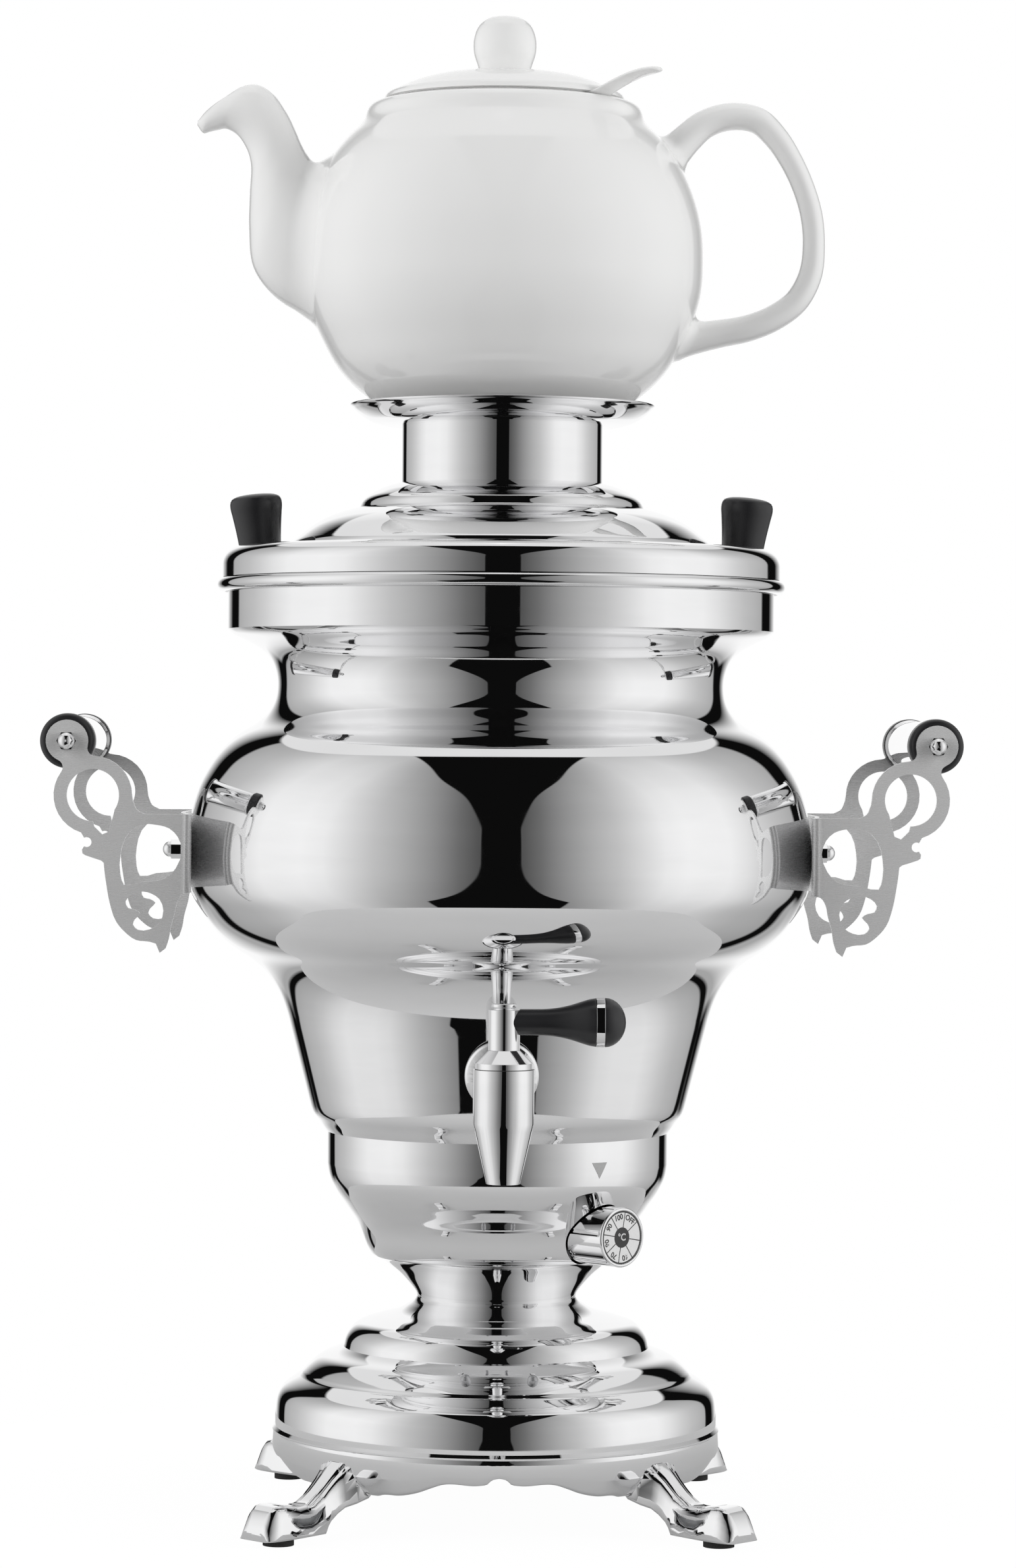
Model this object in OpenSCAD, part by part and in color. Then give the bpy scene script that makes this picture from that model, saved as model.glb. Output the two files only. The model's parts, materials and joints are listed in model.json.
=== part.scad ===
// Electric samovar with a porcelain teapot.
// Origin: on the axis of the body, on the surface that the rubber feet stand on.
// +Z is up and the tap faces -Y. An azimuth is counted from the front towards +X.

/* [Tank] */
// Radius of the tank at its widest
belly_r = 103.5; // [101:0.5:106]
// Radius of the waist above the belly
neck_r = 73.7; // [70:0.2:77]
// Radius of the upright collar under the lid
collar_r = 90.4; // [89:0.2:92]
// Radius where the foot of the tank meets the heater housing
tank_foot_r = 56.9; // [56.6:0.1:58]
// Radius at the lower end of the straight taper
taper_low_r = 62.2; // [61:0.1:64]
// Radius at the upper end of the straight taper
taper_top_r = 69.6; // [68:0.1:71]
// Height of the rounded foot of the tank
tank_foot_h = 8.7; // [7:0.1:10]
// Height of the straight taper
taper_h = 28.8; // [28:0.2:32]
// Height from the taper to the widest part
lower_belly_h = 54.5; // [52:0.5:58]
// Height from the widest part to the neck
upper_belly_h = 55.6; // [52:0.2:59]
// Height from the neck to the collar
throat_h = 17.9; // [16:0.1:20]
// Height of the collar
collar_h = 12.3; // [11:0.1:14]
// Radius of the rolled bead at the mouth
bead_r = 2.3; // [2:0.1:2.6]
// Thickness of the tank's sheet
tank_wall = 1; // [0.8:0.1:1.2]

/* [Heater housing] */
// Radius of the housing below the tank
housing_r = 56.4; // [56:0.1:56.5]
// Radius of the crease where the bowl turns into the funnel
crease_r = 41.5; // [40:0.1:43]
// Radius of the waist between housing and pedestal
waist_r = 26.4; // [25:0.1:28]
// Height of the funnel over the waist
funnel_h = 14.1; // [13:0.1:15]
// Height of the bowl over the crease
bowl_h = 30.4; // [29.6:0.1:32]
// Height of the upright rim of the housing
housing_rim_h = 10.5; // [9:0.1:12]

/* [Base] */
// Height of the lower edge of the skirt over the ground
skirt_lift = 13.5; // [13:0.1:15]
// Height of the skirt
skirt_h = 14.1; // [13.5:0.1:16]
// Radius of the skirt
skirt_r = 73.9; // [73:0.1:75]
// Height of the three-tiered pedestal
pedestal_h = 43.9; // [42:0.1:46]
// Thickness of the pedestal's and the housing's sheet
base_wall = 1; // [0.8:0.1:1.2]
// Thickness of the cast skirt
skirt_wall = 2; // [1.8:0.1:2.4]
// Distance from the axis to the tip of a leg
leg_reach = 110; // [108:0.5:114]
// Half the width of a foot
foot_half_w = 8.3; // [7.5:0.1:9]
// Thickness of a rubber pad
pad_h = 2.5; // [2:0.1:3]
// Radius of a rubber pad
pad_r = 5; // [4:0.1:5.5]

/* [Lid] */
// Radius of the lid's rim
lid_r = 92.3; // [91.6:0.1:92.8]
// Height of the lid's rim
lid_rim_h = 10.3; // [9.5:0.1:11]
// Radius of the lower dome
lower_dome_r = 69.4; // [68:0.1:70]
// Radius of the upper dome
upper_dome_r = 47.3; // [46:0.1:49]
// Height of the lower dome
lower_dome_h = 13.8; // [12:0.1:15]
// Height of the upper dome
upper_dome_h = 8; // [7:0.1:9]
// Thickness of the lid's sheet
lid_wall = 0.8; // [0.6:0.1:1]
// Distance from the axis to a lid knob
lid_knob_reach = 79.8; // [79:0.1:80.5]
// Height of a lid knob
lid_knob_h = 18; // [16:0.5:21]
// Radius of a lid knob at the top
lid_knob_r = 8.6; // [7.6:0.1:9]

/* [Teapot stand] */
// Radius of the upright crown
crown_r = 33.2; // [32:0.1:34]
// Height of the crown
crown_h = 19.5; // [17:0.1:22]
// Radius of the steam opening under the teapot
steam_r = 14; // [12:0.5:18]

/* [Handles] */
// Distance between the two side plates of a bracket
plate_gap = 93; // [90:0.5:96]
// Thickness of the bracket's sheet
plate_t = 1.5; // [1.2:0.1:1.8]
// Distance from the inner edge of a side plate to the grip's axis
bracket_reach = 40; // [39:0.1:42]
// Height of the grip's axis over the fixing stud
bracket_rise = 35.8; // [35:0.1:37]
// Radius of the pierced ring in a side plate
ring_r = 12.6; // [12.2:0.1:13]
// Radius of the hole in the ring
ring_hole_r = 8.4; // [8:0.1:8.8]
// Radius of a grip's end cap
grip_cap_r = 8.9; // [8.4:0.1:9.4]
// Radius of a grip's barrel
grip_r = 8.1; // [7:0.1:8.3]
// Length of a grip's end cap
grip_cap_h = 8; // [6:0.5:12]

/* [Tap] */
// Distance from the tank's axis to the tap's axis
tap_reach = 99; // [97:0.5:104]
// Height of the tap's tail over the lower end of the taper
tap_rise = 14.3; // [13.5:0.1:15]
// Radius of the tap's barrel
barrel_r = 9.6; // [9:0.1:10]
// Height of the barrel's upright part
barrel_h = 16.8; // [15:0.1:18]
// Height of the tapered outlet
outlet_h = 18.9; // [17:0.1:22]
// Radius of the plug
plug_r = 6; // [5.5:0.1:6.2]
// Radius of the water way
water_r = 3.2; // [2.8:0.1:3.4]
// Length of the lever from the tap's axis to its tip
lever_reach = 38; // [36:0.1:42]
// Radius of the lever's head
lever_r = 7.7; // [7:0.1:8.2]

/* [Thermostat] */
// Azimuth of the thermostat knob
knob_angle = 41.5; // [38:0.5:46]
// Height of the knob's axis over the crease of the housing
knob_rise = 10; // [9.9:0.1:11]
// Radius of the knob
knob_r = 9.7; // [9:0.1:10.2]
// Distance from the axis of the body to the face of the knob
knob_reach = 60; // [58:0.1:63]

/* [Teapot] */
// Radius of the teapot's body
pot_r = 66.1; // [64:0.1:68]
// Height of the teapot's body
pot_h = 105.4; // [102:0.2:109]
// Thickness of the porcelain
pot_wall = 3.5; // [3:0.1:4]
// Width of the flat rim round the mouth
pot_rim_w = 6.8; // [6:0.1:9]
// Depth of the strainer's basket
basket_h = 52; // [40:1:60]
// Height of the dome of the teapot's lid
pot_lid_h = 9.2; // [8:0.1:10]
// Height of the knob on the teapot's lid
pot_knob_h = 18.8; // [17:0.1:21]

/* [Fits] */
// Gap between faces that seat on each other
seat_gap = 0.05; // [0.03:0.01:0.08]
// Radial gap of a turning fit
turn_gap = 0.08; // [0.05:0.01:0.1]
// Gap round a piece that lifts off
lift_gap = 0.6; // [0.4:0.1:0.8]

/* [Hidden] */

// Facets of a full turn and of a small round, steps between two outline points
round_fn = 120;
small_fn = 48;
outline_steps = 3;
// How far a cut runs past the face that it opens
overrun = 1;

// Tank: floor, and outlines as shares of each stage's width and height
floor_t = 1.5;
bead_step_angle = 15;
foot_shares = [[0, 0], [0.05, 0.04], [0.453, 0.402], [0.83, 0.7], [1, 1]];
lower_belly_shares = [
    [0, 0], [0.024, 0.05], [0.083, 0.145], [0.174, 0.24], [0.327, 0.338], [0.56, 0.433],
    [0.726, 0.53], [0.87, 0.657], [0.956, 0.754], [0.99, 0.86], [1, 1]
];
upper_belly_shares = [
    [0, 0], [0.027, 0.167], [0.079, 0.293], [0.161, 0.419], [0.221, 0.48], [0.336, 0.5755],
    [0.5, 0.669], [0.621, 0.716], [0.775, 0.764], [0.872, 0.811], [0.936, 0.858],
    [0.977, 0.905], [1, 1]
];
throat_shares = [
    [0, 0], [0.018, 0.145], [0.06, 0.29], [0.126, 0.436], [0.251, 0.581], [0.503, 0.732],
    [0.832, 0.877], [0.97, 0.945], [1, 1]
];

// Heater housing
funnel_shares = [
    [0, 0], [0, 0.04], [0.08, 0.184], [0.225, 0.369], [0.391, 0.553], [0.609, 0.745],
    [0.841, 0.929], [1, 1]
];
bowl_shares = [
    [0, 0], [0.074, 0.053], [0.181, 0.181], [0.242, 0.27], [0.322, 0.355], [0.503, 0.4835],
    [0.624, 0.569], [0.752, 0.655], [0.852, 0.743], [0.94, 0.829], [0.98, 0.914], [1, 1]
];

// Pedestal: a lip over the skirt and three tiers up to the waist
pedestal_lip = 0.9;
tier_lip_shares = [[0, 0], [0, 0.01], [1, 0.033]];
tier_c_shares = [
    [0, 0.034], [0, 0.125], [0.004, 0.185], [0.013, 0.244], [0.041, 0.303], [0.105, 0.362],
    [0.185, 0.415]
];
tier_b_shares = [[0.192, 0.43], [0.24, 0.483], [0.309, 0.542], [0.438, 0.601], [0.48, 0.626]];
tier_a_shares = [
    [0.486, 0.645], [0.488, 0.665], [0.511, 0.722], [0.558, 0.781], [0.7, 0.8405],
    [0.884, 0.9], [0.962, 0.955], [1, 0.985], [1, 1]
];

// Skirt: rounded lower edge, scalloped between the legs, with a ledge for the cover
edge_round_w = 5.9;
edge_round_h = 6.5;
edge_round_shares = [[0, 0], [0.6, 0.185], [0.85, 0.585], [1, 1]];
scallop_half_w = 47;
scallop_shares = [
    [-1, -0.9], [-1, -0.3], [-0.86, 0.03], [-0.72, 0.06], [-0.58, 0.17], [-0.48, 0.3],
    [-0.4, 0.395], [-0.13, 0.4], [-0.085, 0.43], [-0.05, 0.54], [0, 0.58]
];
ledge_drop = 2.6;
ledge_h = 1.9;
ledge_w = 2.6;
leg_angles = [45, -45, 135, -135];
side_count = 4;

// Legs. Each row: station along the run, underside, top, width at the bottom, width at the
// top and depth of the side grooves
leg_root_in = 4.4;
leg_top_h = 12.6;
leg_groove = 1.3;
leg_shares = [
    [0, 0.44, 1, 1.45, 1.15, 0],
    [0.09, 0.37, 0.93, 1.2, 0.9, 0.6],
    [0.16, 0.32, 0.82, 0.9, 0.7, 1],
    [0.22, 0.25, 0.735, 0.8, 0.62, 1],
    [0.29, 0.16, 0.63, 0.78, 0.6, 1],
    [0.33, 0.08, 0.575, 0.8, 0.6, 1],
    [0.355, 0, 0.54, 0.82, 0.6, 1],
    [0.45, 0, 0.435, 0.88, 0.62, 0.9],
    [0.53, 0, 0.4, 0.92, 0.66, 0],
    [0.62, 0, 0.4, 0.96, 0.7, 0],
    [0.72, 0, 0.44, 1, 0.74, 0],
    [0.82, 0, 0.455, 1, 0.74, 0],
    [0.88, 0, 0.44, 0.98, 0.7, 0],
    [0.93, 0, 0.36, 0.93, 0.62, 0],
    [0.97, 0, 0.24, 0.85, 0.55, 0],
    [1, 0, 0.1, 0.74, 0.5, 0]
];
// Section of a leg: place across, height and share of the groove's depth
leg_section_shares = [
    [-0.9, 0, 0], [0, 0, 0], [0.9, 0, 0], [1, 0.08, 0], [1, 0.4, 0], [0.99, 0.62, 0],
    [0.97, 0.78, 0], [0.9, 0.9, 0.2], [0.76, 0.975, 0.9], [0.62, 1, 1], [0.56, 1, 0.75],
    [0.5, 1, 0.1], [0.3, 1, 0], [-0.3, 1, 0], [-0.5, 1, 0.1], [-0.56, 1, 0.75],
    [-0.62, 1, 1], [-0.76, 0.975, 0.9], [-0.9, 0.9, 0.2], [-0.97, 0.78, 0],
    [-0.99, 0.62, 0], [-1, 0.4, 0], [-1, 0.08, 0]
];
pad_inset = 11;
leg_screw_r = 1.5;
leg_screw_head_r = 2.4;
leg_screw_head_h = 1.6;
leg_screw_rise = 5.4;
leg_screw_bite = 2.6;
leg_screw_recess = 3.8;

// Base fittings
cover_t = 1;
tie_rod_r = 3;
rod_tail = 8;
rod_nut_flat_w = 10;
rod_nut_h = 5;
grommet_rise = 5.8;
grommet_bore_r = 3;
grommet_neck_r = 3.5;
grommet_flange_r = 4.2;
grommet_flange_h = 1.5;
terminal_w = 34;
terminal_d = 12;
terminal_h = 10;
terminal_reach = 30;
terminal_count = 4;
terminal_hole_r = 1.6;
terminal_pitch = 8;
lamp_angle = 10.4;
lamp_tilt_angle = 33;
lamp_place_shares = [0.29, 0.528];
lamp_r = 1.75;
lamp_body_r = 2.6;
lamp_body_h = 5;
lamp_stand_out = 0.5;

// Heater
element_r = 3.3;
element_post_r = 4.2;
element_ring_r = 36;
element_open_angle = 19.5;
element_rise = 13;
element_tail = 8;
heater_nut_flat_w = 13;
heater_nut_h = 3.8;
gasket_t = 1;
gasket_r = 7;

// Thermostat
thermostat_w = 24;
thermostat_h = 18;
thermostat_d = 20;
thermostat_reach = 34;
spindle_r = 3;
spindle_bite = 4;
strip_w = 14;
strip_t = 1.2;
strip_foot = 10;
cutout_r = 8;
cutout_h = 6;
cutout_reach = 26;
knob_depth = 18.5;
knob_bore_h = 9;
knob_bevel = 0.6;
knob_hole_gap = 0.5;
dial_t = 0.8;
dial_inset = 0.3;
dial_rim = 0.8;
flute_count = 14;
flute_r = 1.6;
flute_depth = 0.35;

// Tap
tail_to_top = 4;
outlet_r = 5.3;
tail_r = 4.6;
tail_bore_r = 2.6;
tail_in = 45;
plug_floor = 3;
bonnet_inset = 0.65;
bonnet_rim_h = 2;
bonnet_h = 6;
stem_r = 3.5;
collar_stem_r = 4.95;
collar_stem_h = 12.6;
cap_r = 4;
cap_waist_r = 3.4;
cap_waist_h = 0.5;
cap_h = 1.6;
cap_drop = 0.4;
lever_drop = 3.8;
lever_root_r = 4.1;
lever_rod_r = 2;
lever_ring_h = 2.8;
lever_tip_h = 6.6;
lever_rod_in = 3;
lever_shares = [
    [0, 0.53], [0.3, 0.53], [0.48, 0.545], [0.6, 0.6], [0.72, 0.7], [0.84, 0.84], [0.93, 0.94],
    [1, 0.985]
];
rosette_r = 11.8;
rosette_h = 3.2;
rosette_shares = [[1, -0.9], [1, 0.25], [0.94, 0.5], [0.75, 0.85], [0.55, 1]];
wedge_r = 9.5;
tail_nut_back = 4.9;
tail_nut_flat_w = 14;
tail_nut_h = 4;

// Lid
lid_dip = 0.5;
lid_round = 6;
lid_round_step_angle = 15;
lid_flat_in = 7.3;
crown_seat_w = 1.3;
dome_foot = 0.8;
lower_dome_shares = [
    [0, 0.1], [0.002, 0.14], [0.04, 0.195], [0.163, 0.366], [0.321, 0.562], [0.525, 0.75],
    [0.86, 0.938], [1, 0.99]
];
upper_dome_shares = [
    [0.02, 0.04], [0.07, 0.219], [0.16, 0.39], [0.305, 0.544], [0.52, 0.74], [0.734, 0.881],
    [1, 1]
];
steam_ledge = 6;
ring_drop = 8;
ring_flange_w = 5.2;
ring_chamfer = 1.2;
lid_knob_lean_angle = 6;
lid_knob_shares = [
    [0.81, -0.1], [0.81, 0.02], [0.86, 0.3], [0.95, 0.62], [1, 0.8], [0.985, 0.87],
    [0.93, 0.925], [0.8, 0.96], [0.45, 0.992], [0, 1]
];
lid_screw_r = 1.5;
lid_screw_head_r = 3;
lid_screw_head_h = 1.6;
lid_screw_bite = 9;
stand_clear = 0.2;
stand_brim = 6.3;
stand_rise = 6.2;
stand_shares = [[0, 0], [0.35, 0.16], [0.64, 0.45], [0.88, 0.78], [1, 1]];

// Handles. Outlines are shares of the reach from the web and of the rise over the stud
stud_rise = 0.5;
web_bow = 3.7;
web_seat = 0.25;
web_steps = 12;
bend_r = 3.4;
bend_step_angle = 18;
lobe_r = 6.8;
neck_round = 2.5;
arc_step_angle = 12;
ring_low_angle = -73;
ring_place_shares = [0.79, 0.514];
notch_place_shares = [0.838, 0.092];
notch_r = 1.6;
notch_half_angle = 120;
web_top_share = 0.346;
web_low_share = -0.3575;
plate_top_shares = [[0.371, 0.346], [0.436, 0.385], [0.468, 0.466]];
plate_thorn_shares = [
    [0.875, 0.025], [0.87, -0.01], [0.848, -0.026], [0.785, -0.05], [0.722, -0.072]
];
plate_side_shares = [
    [0.7, -0.092], [0.69, -0.196], [0.68, -0.268], [0.648, -0.461], [0.5955, -0.623],
    [0.528, -0.712], [0.436, -0.785], [0.331, -0.799], [0.278, -0.816]
];
plate_tail_shares = [
    [0.246, -0.899], [0.1985, -0.8575], [0.1735, -0.771], [0.1585, -0.6676],
    [0.126, -0.5335], [0.106, -0.43], [0.0687, -0.3715], [0.02, -0.3575]
];
tongue_shares = [
    [0.613, 0.391], [0.628, 0.321], [0.66, 0.187], [0.713, 0.162], [0.778, 0.232],
    [0.798, 0.321], [0.76, 0.419]
];
window_shares = [
    [0.0737, 0.025], [0.106, 0.1425], [0.1735, 0.218], [0.251, 0.246], [0.423, 0.243],
    [0.523, 0.1425], [0.5655, -0.0196], [0.5655, -0.1955], [0.5356, -0.2905],
    [0.396, -0.2626], [0.303, -0.254], [0.1985, -0.226], [0.121, -0.137]
];
trefoil_shares = [
    [0.2185, -0.5196], [0.251, -0.416], [0.318, -0.366], [0.383, -0.349], [0.4757, -0.38],
    [0.523, -0.4385], [0.503, -0.497], [0.448, -0.511], [0.403, -0.546], [0.448, -0.6],
    [0.463, -0.645], [0.423, -0.693], [0.331, -0.69], [0.251, -0.631]
];
small_bolt_r = 1.5;
stud_length = 4.6;
acorn_flat_w = 5.5;
acorn_h = 3.4;
acorn_dome_r = 2.7;
acorn_bore_h = 4;
grip_bead = 0.5;
grip_bead_w = 2.4;
grip_round = 2;
grip_edge = 0.5;

// Teapot. Outlines are shares of its radius and height
pot_shares = [
    [0.56, 0], [0.568, 0.015], [0.6, 0.037], [0.664, 0.071], [0.759, 0.1205], [0.829, 0.171],
    [0.896, 0.245], [0.955, 0.325], [0.99, 0.405], [1, 0.504], [0.988, 0.618], [0.965, 0.68],
    [0.925, 0.75], [0.846, 0.842], [0.782, 0.891], [0.712, 0.935], [0.697, 0.949],
    [0.693, 0.966], [0.682, 0.984], [0.655, 0.997], [0.62, 1]
];
pot_foot_h = 2.4;
pot_foot_w = 4;
pot_rim_h = 6;
// Rows for the spout: lower point, upper point of a section, and half its width
spout_shares = [
    [0.877, 0.3425, 0.756, 0.7884, 0.3],
    [0.971, 0.332, 0.868, 0.807, 0.29],
    [1.145, 0.39, 0.944, 0.8065, 0.25],
    [1.248, 0.4744, 0.983, 0.833, 0.216],
    [1.275, 0.605, 1.017, 0.87, 0.18],
    [1.272, 0.7125, 1.048, 0.9146, 0.152],
    [1.268, 0.8065, 1.092, 0.9687, 0.135],
    [1.295, 0.8596, 1.157, 1.0237, 0.124],
    [1.34, 0.8975, 1.233, 1.052, 0.113],
    [1.39, 0.9137, 1.304, 1.0493, 0.098],
    [1.433, 0.91, 1.38, 1.0218, 0.082],
    [1.4735, 0.904, 1.44, 0.997, 0.07],
    [1.505, 0.8995, 1.49, 0.9706, 0.056],
    [1.5355, 0.9241, 1.5325, 0.938, 0.023]
];
spout_wall = 2.2;
spout_sides = 12;
spout_bore_count = 12;
// Rows for the handle: a point of its centre line, half its thickness and half its width
handle_shares = [
    [0.832, 0.8406, 0.09, 0.12], [0.915, 0.8956, 0.078, 0.108], [0.9985, 0.94, 0.072, 0.1],
    [1.156, 0.9677, 0.068, 0.095], [1.271, 0.9545, 0.066, 0.093], [1.3616, 0.9023, 0.062, 0.092],
    [1.437, 0.831, 0.058, 0.091], [1.498, 0.7505, 0.056, 0.091], [1.543, 0.6556, 0.056, 0.091],
    [1.555, 0.57, 0.056, 0.092], [1.5355, 0.4658, 0.06, 0.094], [1.4675, 0.388, 0.063, 0.096],
    [1.3616, 0.3378, 0.065, 0.098], [1.2254, 0.3027, 0.067, 0.1], [1.089, 0.2856, 0.07, 0.105],
    [0.968, 0.272, 0.08, 0.115], [0.87, 0.262, 0.095, 0.125]
];
handle_sides = 12;
strainer_t = 0.8;
strainer_flange_w = 4.5;
basket_wall = 0.6;
basket_round = 5;
tab_w = 7.6;
tab_angle = 50;
tab_shares = [[0.9, 0], [1.08, 0], [1.18, 0.13], [1.4, 0.5], [1.6, 0.82], [1.72, 1]];
tab_rise = 6.6;
pot_lid_shares = [[1, 0.02], [0.998, 0.1], [0.9, 0.37], [0.746, 0.66], [0.42, 0.955], [0.24, 1]];
pot_lid_over = 2.3;
pot_lid_skirt_h = 7;
pot_lid_skirt_w = 2.4;
pot_knob_r = 10.5;
pot_knob_shares = [
    [0.79, 0], [0.86, 0.14], [0.965, 0.31], [1, 0.47], [0.96, 0.66], [0.82, 0.84],
    [0.56, 0.955], [0.25, 0.995], [0, 1]
];

// Heights from the ground up
skirt_top_z = skirt_lift + skirt_h;
cover_z = skirt_top_z - ledge_drop - ledge_h - seat_gap - cover_t;
waist_z = skirt_top_z + pedestal_h;
crease_z = waist_z + funnel_h;
knob_z = crease_z + knob_rise;
tank_z = crease_z + bowl_h + housing_rim_h;
taper_low_z = tank_z + tank_foot_h;
taper_top_z = taper_low_z + taper_h;
belly_z = taper_top_z + lower_belly_h;
neck_z = belly_z + upper_belly_h;
collar_z = neck_z + throat_h;
bead_z = collar_z + collar_h + bead_r;
lid_z = bead_z + bead_r + seat_gap;
lid_flat_z = lid_z + lid_rim_h - lid_dip;
crown_z = lid_flat_z + lower_dome_h + upper_dome_h;
stand_z = crown_z + crown_h;
pot_z = stand_z + lid_wall + seat_gap;
strainer_z = pot_z + pot_h + seat_gap;
pot_lid_z = strainer_z + strainer_t + seat_gap;
tail_z = taper_low_z + tap_rise;
barrel_top_z = tail_z + tail_to_top;
barrel_low_z = barrel_top_z - barrel_h;
outlet_z = barrel_low_z - outlet_h;
lever_z = barrel_top_z + bonnet_h + collar_stem_h - lever_drop;
stud_z = belly_z + stud_rise;

// Radii and places that follow
mouth_r = collar_r - tank_wall;
pedestal_r = skirt_r - pedestal_lip;
leg_root_r = skirt_r - leg_root_in;
leg_run = leg_reach - leg_root_r;
taper_angle = atan((taper_top_r - taper_low_r) / taper_h);
tail_wall_r = taper_low_r + tap_rise * (taper_top_r - taper_low_r) / taper_h;
element_leg_x = element_ring_r * sin(element_open_angle);
element_leg_y = element_ring_r * cos(element_open_angle);
bonnet_r = barrel_r - bonnet_inset;
plate_outer = plate_gap / 2 + plate_t;
bracket_x = belly_r + web_seat - web_bow;
grip_x = bracket_x + bracket_reach;
grip_z = stud_z + bracket_rise;
lever_ring_x = lever_reach - lever_tip_h - lever_ring_h;
stand_flat_r = pot_shares[2][0] * pot_r + stand_clear;
stand_r = pot_shares[3][0] * pot_r + stand_brim;
pot_mouth_r = pot_shares[len(pot_shares) - 1][0] * pot_r - pot_rim_w;
basket_r = pot_mouth_r - 2 * lift_gap;
strainer_rim_r = basket_r + strainer_flange_w;
pot_lid_r = strainer_rim_r + pot_lid_over;

// Points at given shares of the way from one place to another
function place(from, to, shares) = [
    for (s = shares) [from[0] + (to[0] - from[0]) * s[0], from[1] + (to[1] - from[1]) * s[1]]
];
function scaled(shares, w, h) = [for (s = shares) [s[0] * w, s[1] * h]];
function reversed(list) = [for (i = [len(list) - 1 : -1 : 0]) list[i]];
function left_of(v) = [-v[1], v[0]] / norm(v);

// Smooth curve through points: cubic pieces whose headings weigh both neighbours
function chord(p, i) = norm(p[i + 1] - p[i]);
function heading(p, i) =
    i == 0 ? (p[1] - p[0]) / chord(p, 0)
    : i == len(p) - 1 ? (p[i] - p[i - 1]) / chord(p, i - 1)
    : let (a = chord(p, i - 1), b = chord(p, i))
        ((p[i] - p[i - 1]) * b / a + (p[i + 1] - p[i]) * a / b) / (a + b);
function on_curve(p, i, t) =
    let (d = chord(p, i))
    (2 * t ^ 3 - 3 * t ^ 2 + 1) * p[i] + (t ^ 3 - 2 * t ^ 2 + t) * d * heading(p, i)
    + (3 * t ^ 2 - 2 * t ^ 3) * p[i + 1] + (t ^ 3 - t ^ 2) * d * heading(p, i + 1);
function curve(p, steps = outline_steps) = [
    for (i = [0 : len(p) - 2]) for (k = [0 : steps - 1]) on_curve(p, i, k / steps),
    p[len(p) - 1]
];
// The same round a closed outline, read from the middle one of three copies
function ring_curve(p, steps = outline_steps) =
    let (row = concat(p, p, p), n = len(p))
    [for (i = [n : 2 * n - 1]) for (k = [0 : steps - 1]) on_curve(row, i, k / steps)];

// Path that runs a wall's thickness to the left of another
function inset(p, wall) = [
    for (i = [0 : len(p) - 1])
        let (
            a = left_of(p[max(i, 1)] - p[max(i, 1) - 1]),
            b = left_of(p[min(i + 1, len(p) - 1)] - p[min(i, len(p) - 2)]),
            m = (a + b) / norm(a + b)
        )
        p[i] + m * wall / (m * a)
];
function arc(centre, r, from, to, step_angle) =
    let (steps = ceil(abs(to - from) / step_angle))
    [for (k = [0 : steps])
        let (a = from + (to - from) * k / steps) centre + r * [cos(a), sin(a)]];

tank_path = concat(
    curve(place([tank_foot_r, tank_z], [taper_low_r, taper_low_z], foot_shares)),
    curve(place([taper_top_r, taper_top_z], [belly_r, belly_z], lower_belly_shares)),
    [for (p = curve(place([belly_r, belly_z], [neck_r, neck_z], upper_belly_shares)))
        if (p[1] > belly_z) p],
    [for (p = curve(place([neck_r, neck_z], [collar_r, collar_z], throat_shares)))
        if (p[1] > neck_z) p],
    [[collar_r, collar_z + collar_h]]
);
housing_path = concat(
    curve(place([waist_r, waist_z], [crease_r, crease_z], funnel_shares)),
    [for (p = curve(place([crease_r, crease_z], [housing_r, crease_z + bowl_h], bowl_shares)))
        if (p[1] > crease_z) p],
    [[housing_r, tank_z]]
);
function tier(shares) = place([pedestal_r, skirt_top_z], [waist_r, waist_z], shares);
pedestal_path = concat(
    place([skirt_r, skirt_top_z], [pedestal_r, waist_z], tier_lip_shares),
    curve(tier(tier_c_shares)), curve(tier(tier_b_shares)), curve(tier(tier_a_shares))
);
skirt_path = concat(
    curve(place([skirt_r - edge_round_w, skirt_lift], [skirt_r, skirt_lift + edge_round_h],
        edge_round_shares)),
    [[skirt_r, skirt_top_z]]
);
dome_z = lid_flat_z + lower_dome_h;
lid_path = concat(
    [[lid_r, lid_z]],
    arc([lid_r - lid_round, lid_z + lid_rim_h - lid_round], lid_round, 0, 90,
        lid_round_step_angle),
    [[lid_r - lid_flat_in, lid_flat_z], [lower_dome_r + dome_foot, lid_flat_z]],
    curve(place([lower_dome_r, lid_flat_z], [upper_dome_r, dome_z], lower_dome_shares)),
    curve(place([upper_dome_r, dome_z], [crown_r + crown_seat_w, crown_z], upper_dome_shares)),
    [[crown_r - steam_ledge, crown_z]]
);
stand_path = concat(
    [[steam_r, stand_z]],
    curve(place([stand_flat_r, stand_z], [stand_r, stand_z + stand_rise], stand_shares))
);
pot_path = curve(scaled(pot_shares, pot_r, pot_h), 2);

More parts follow.
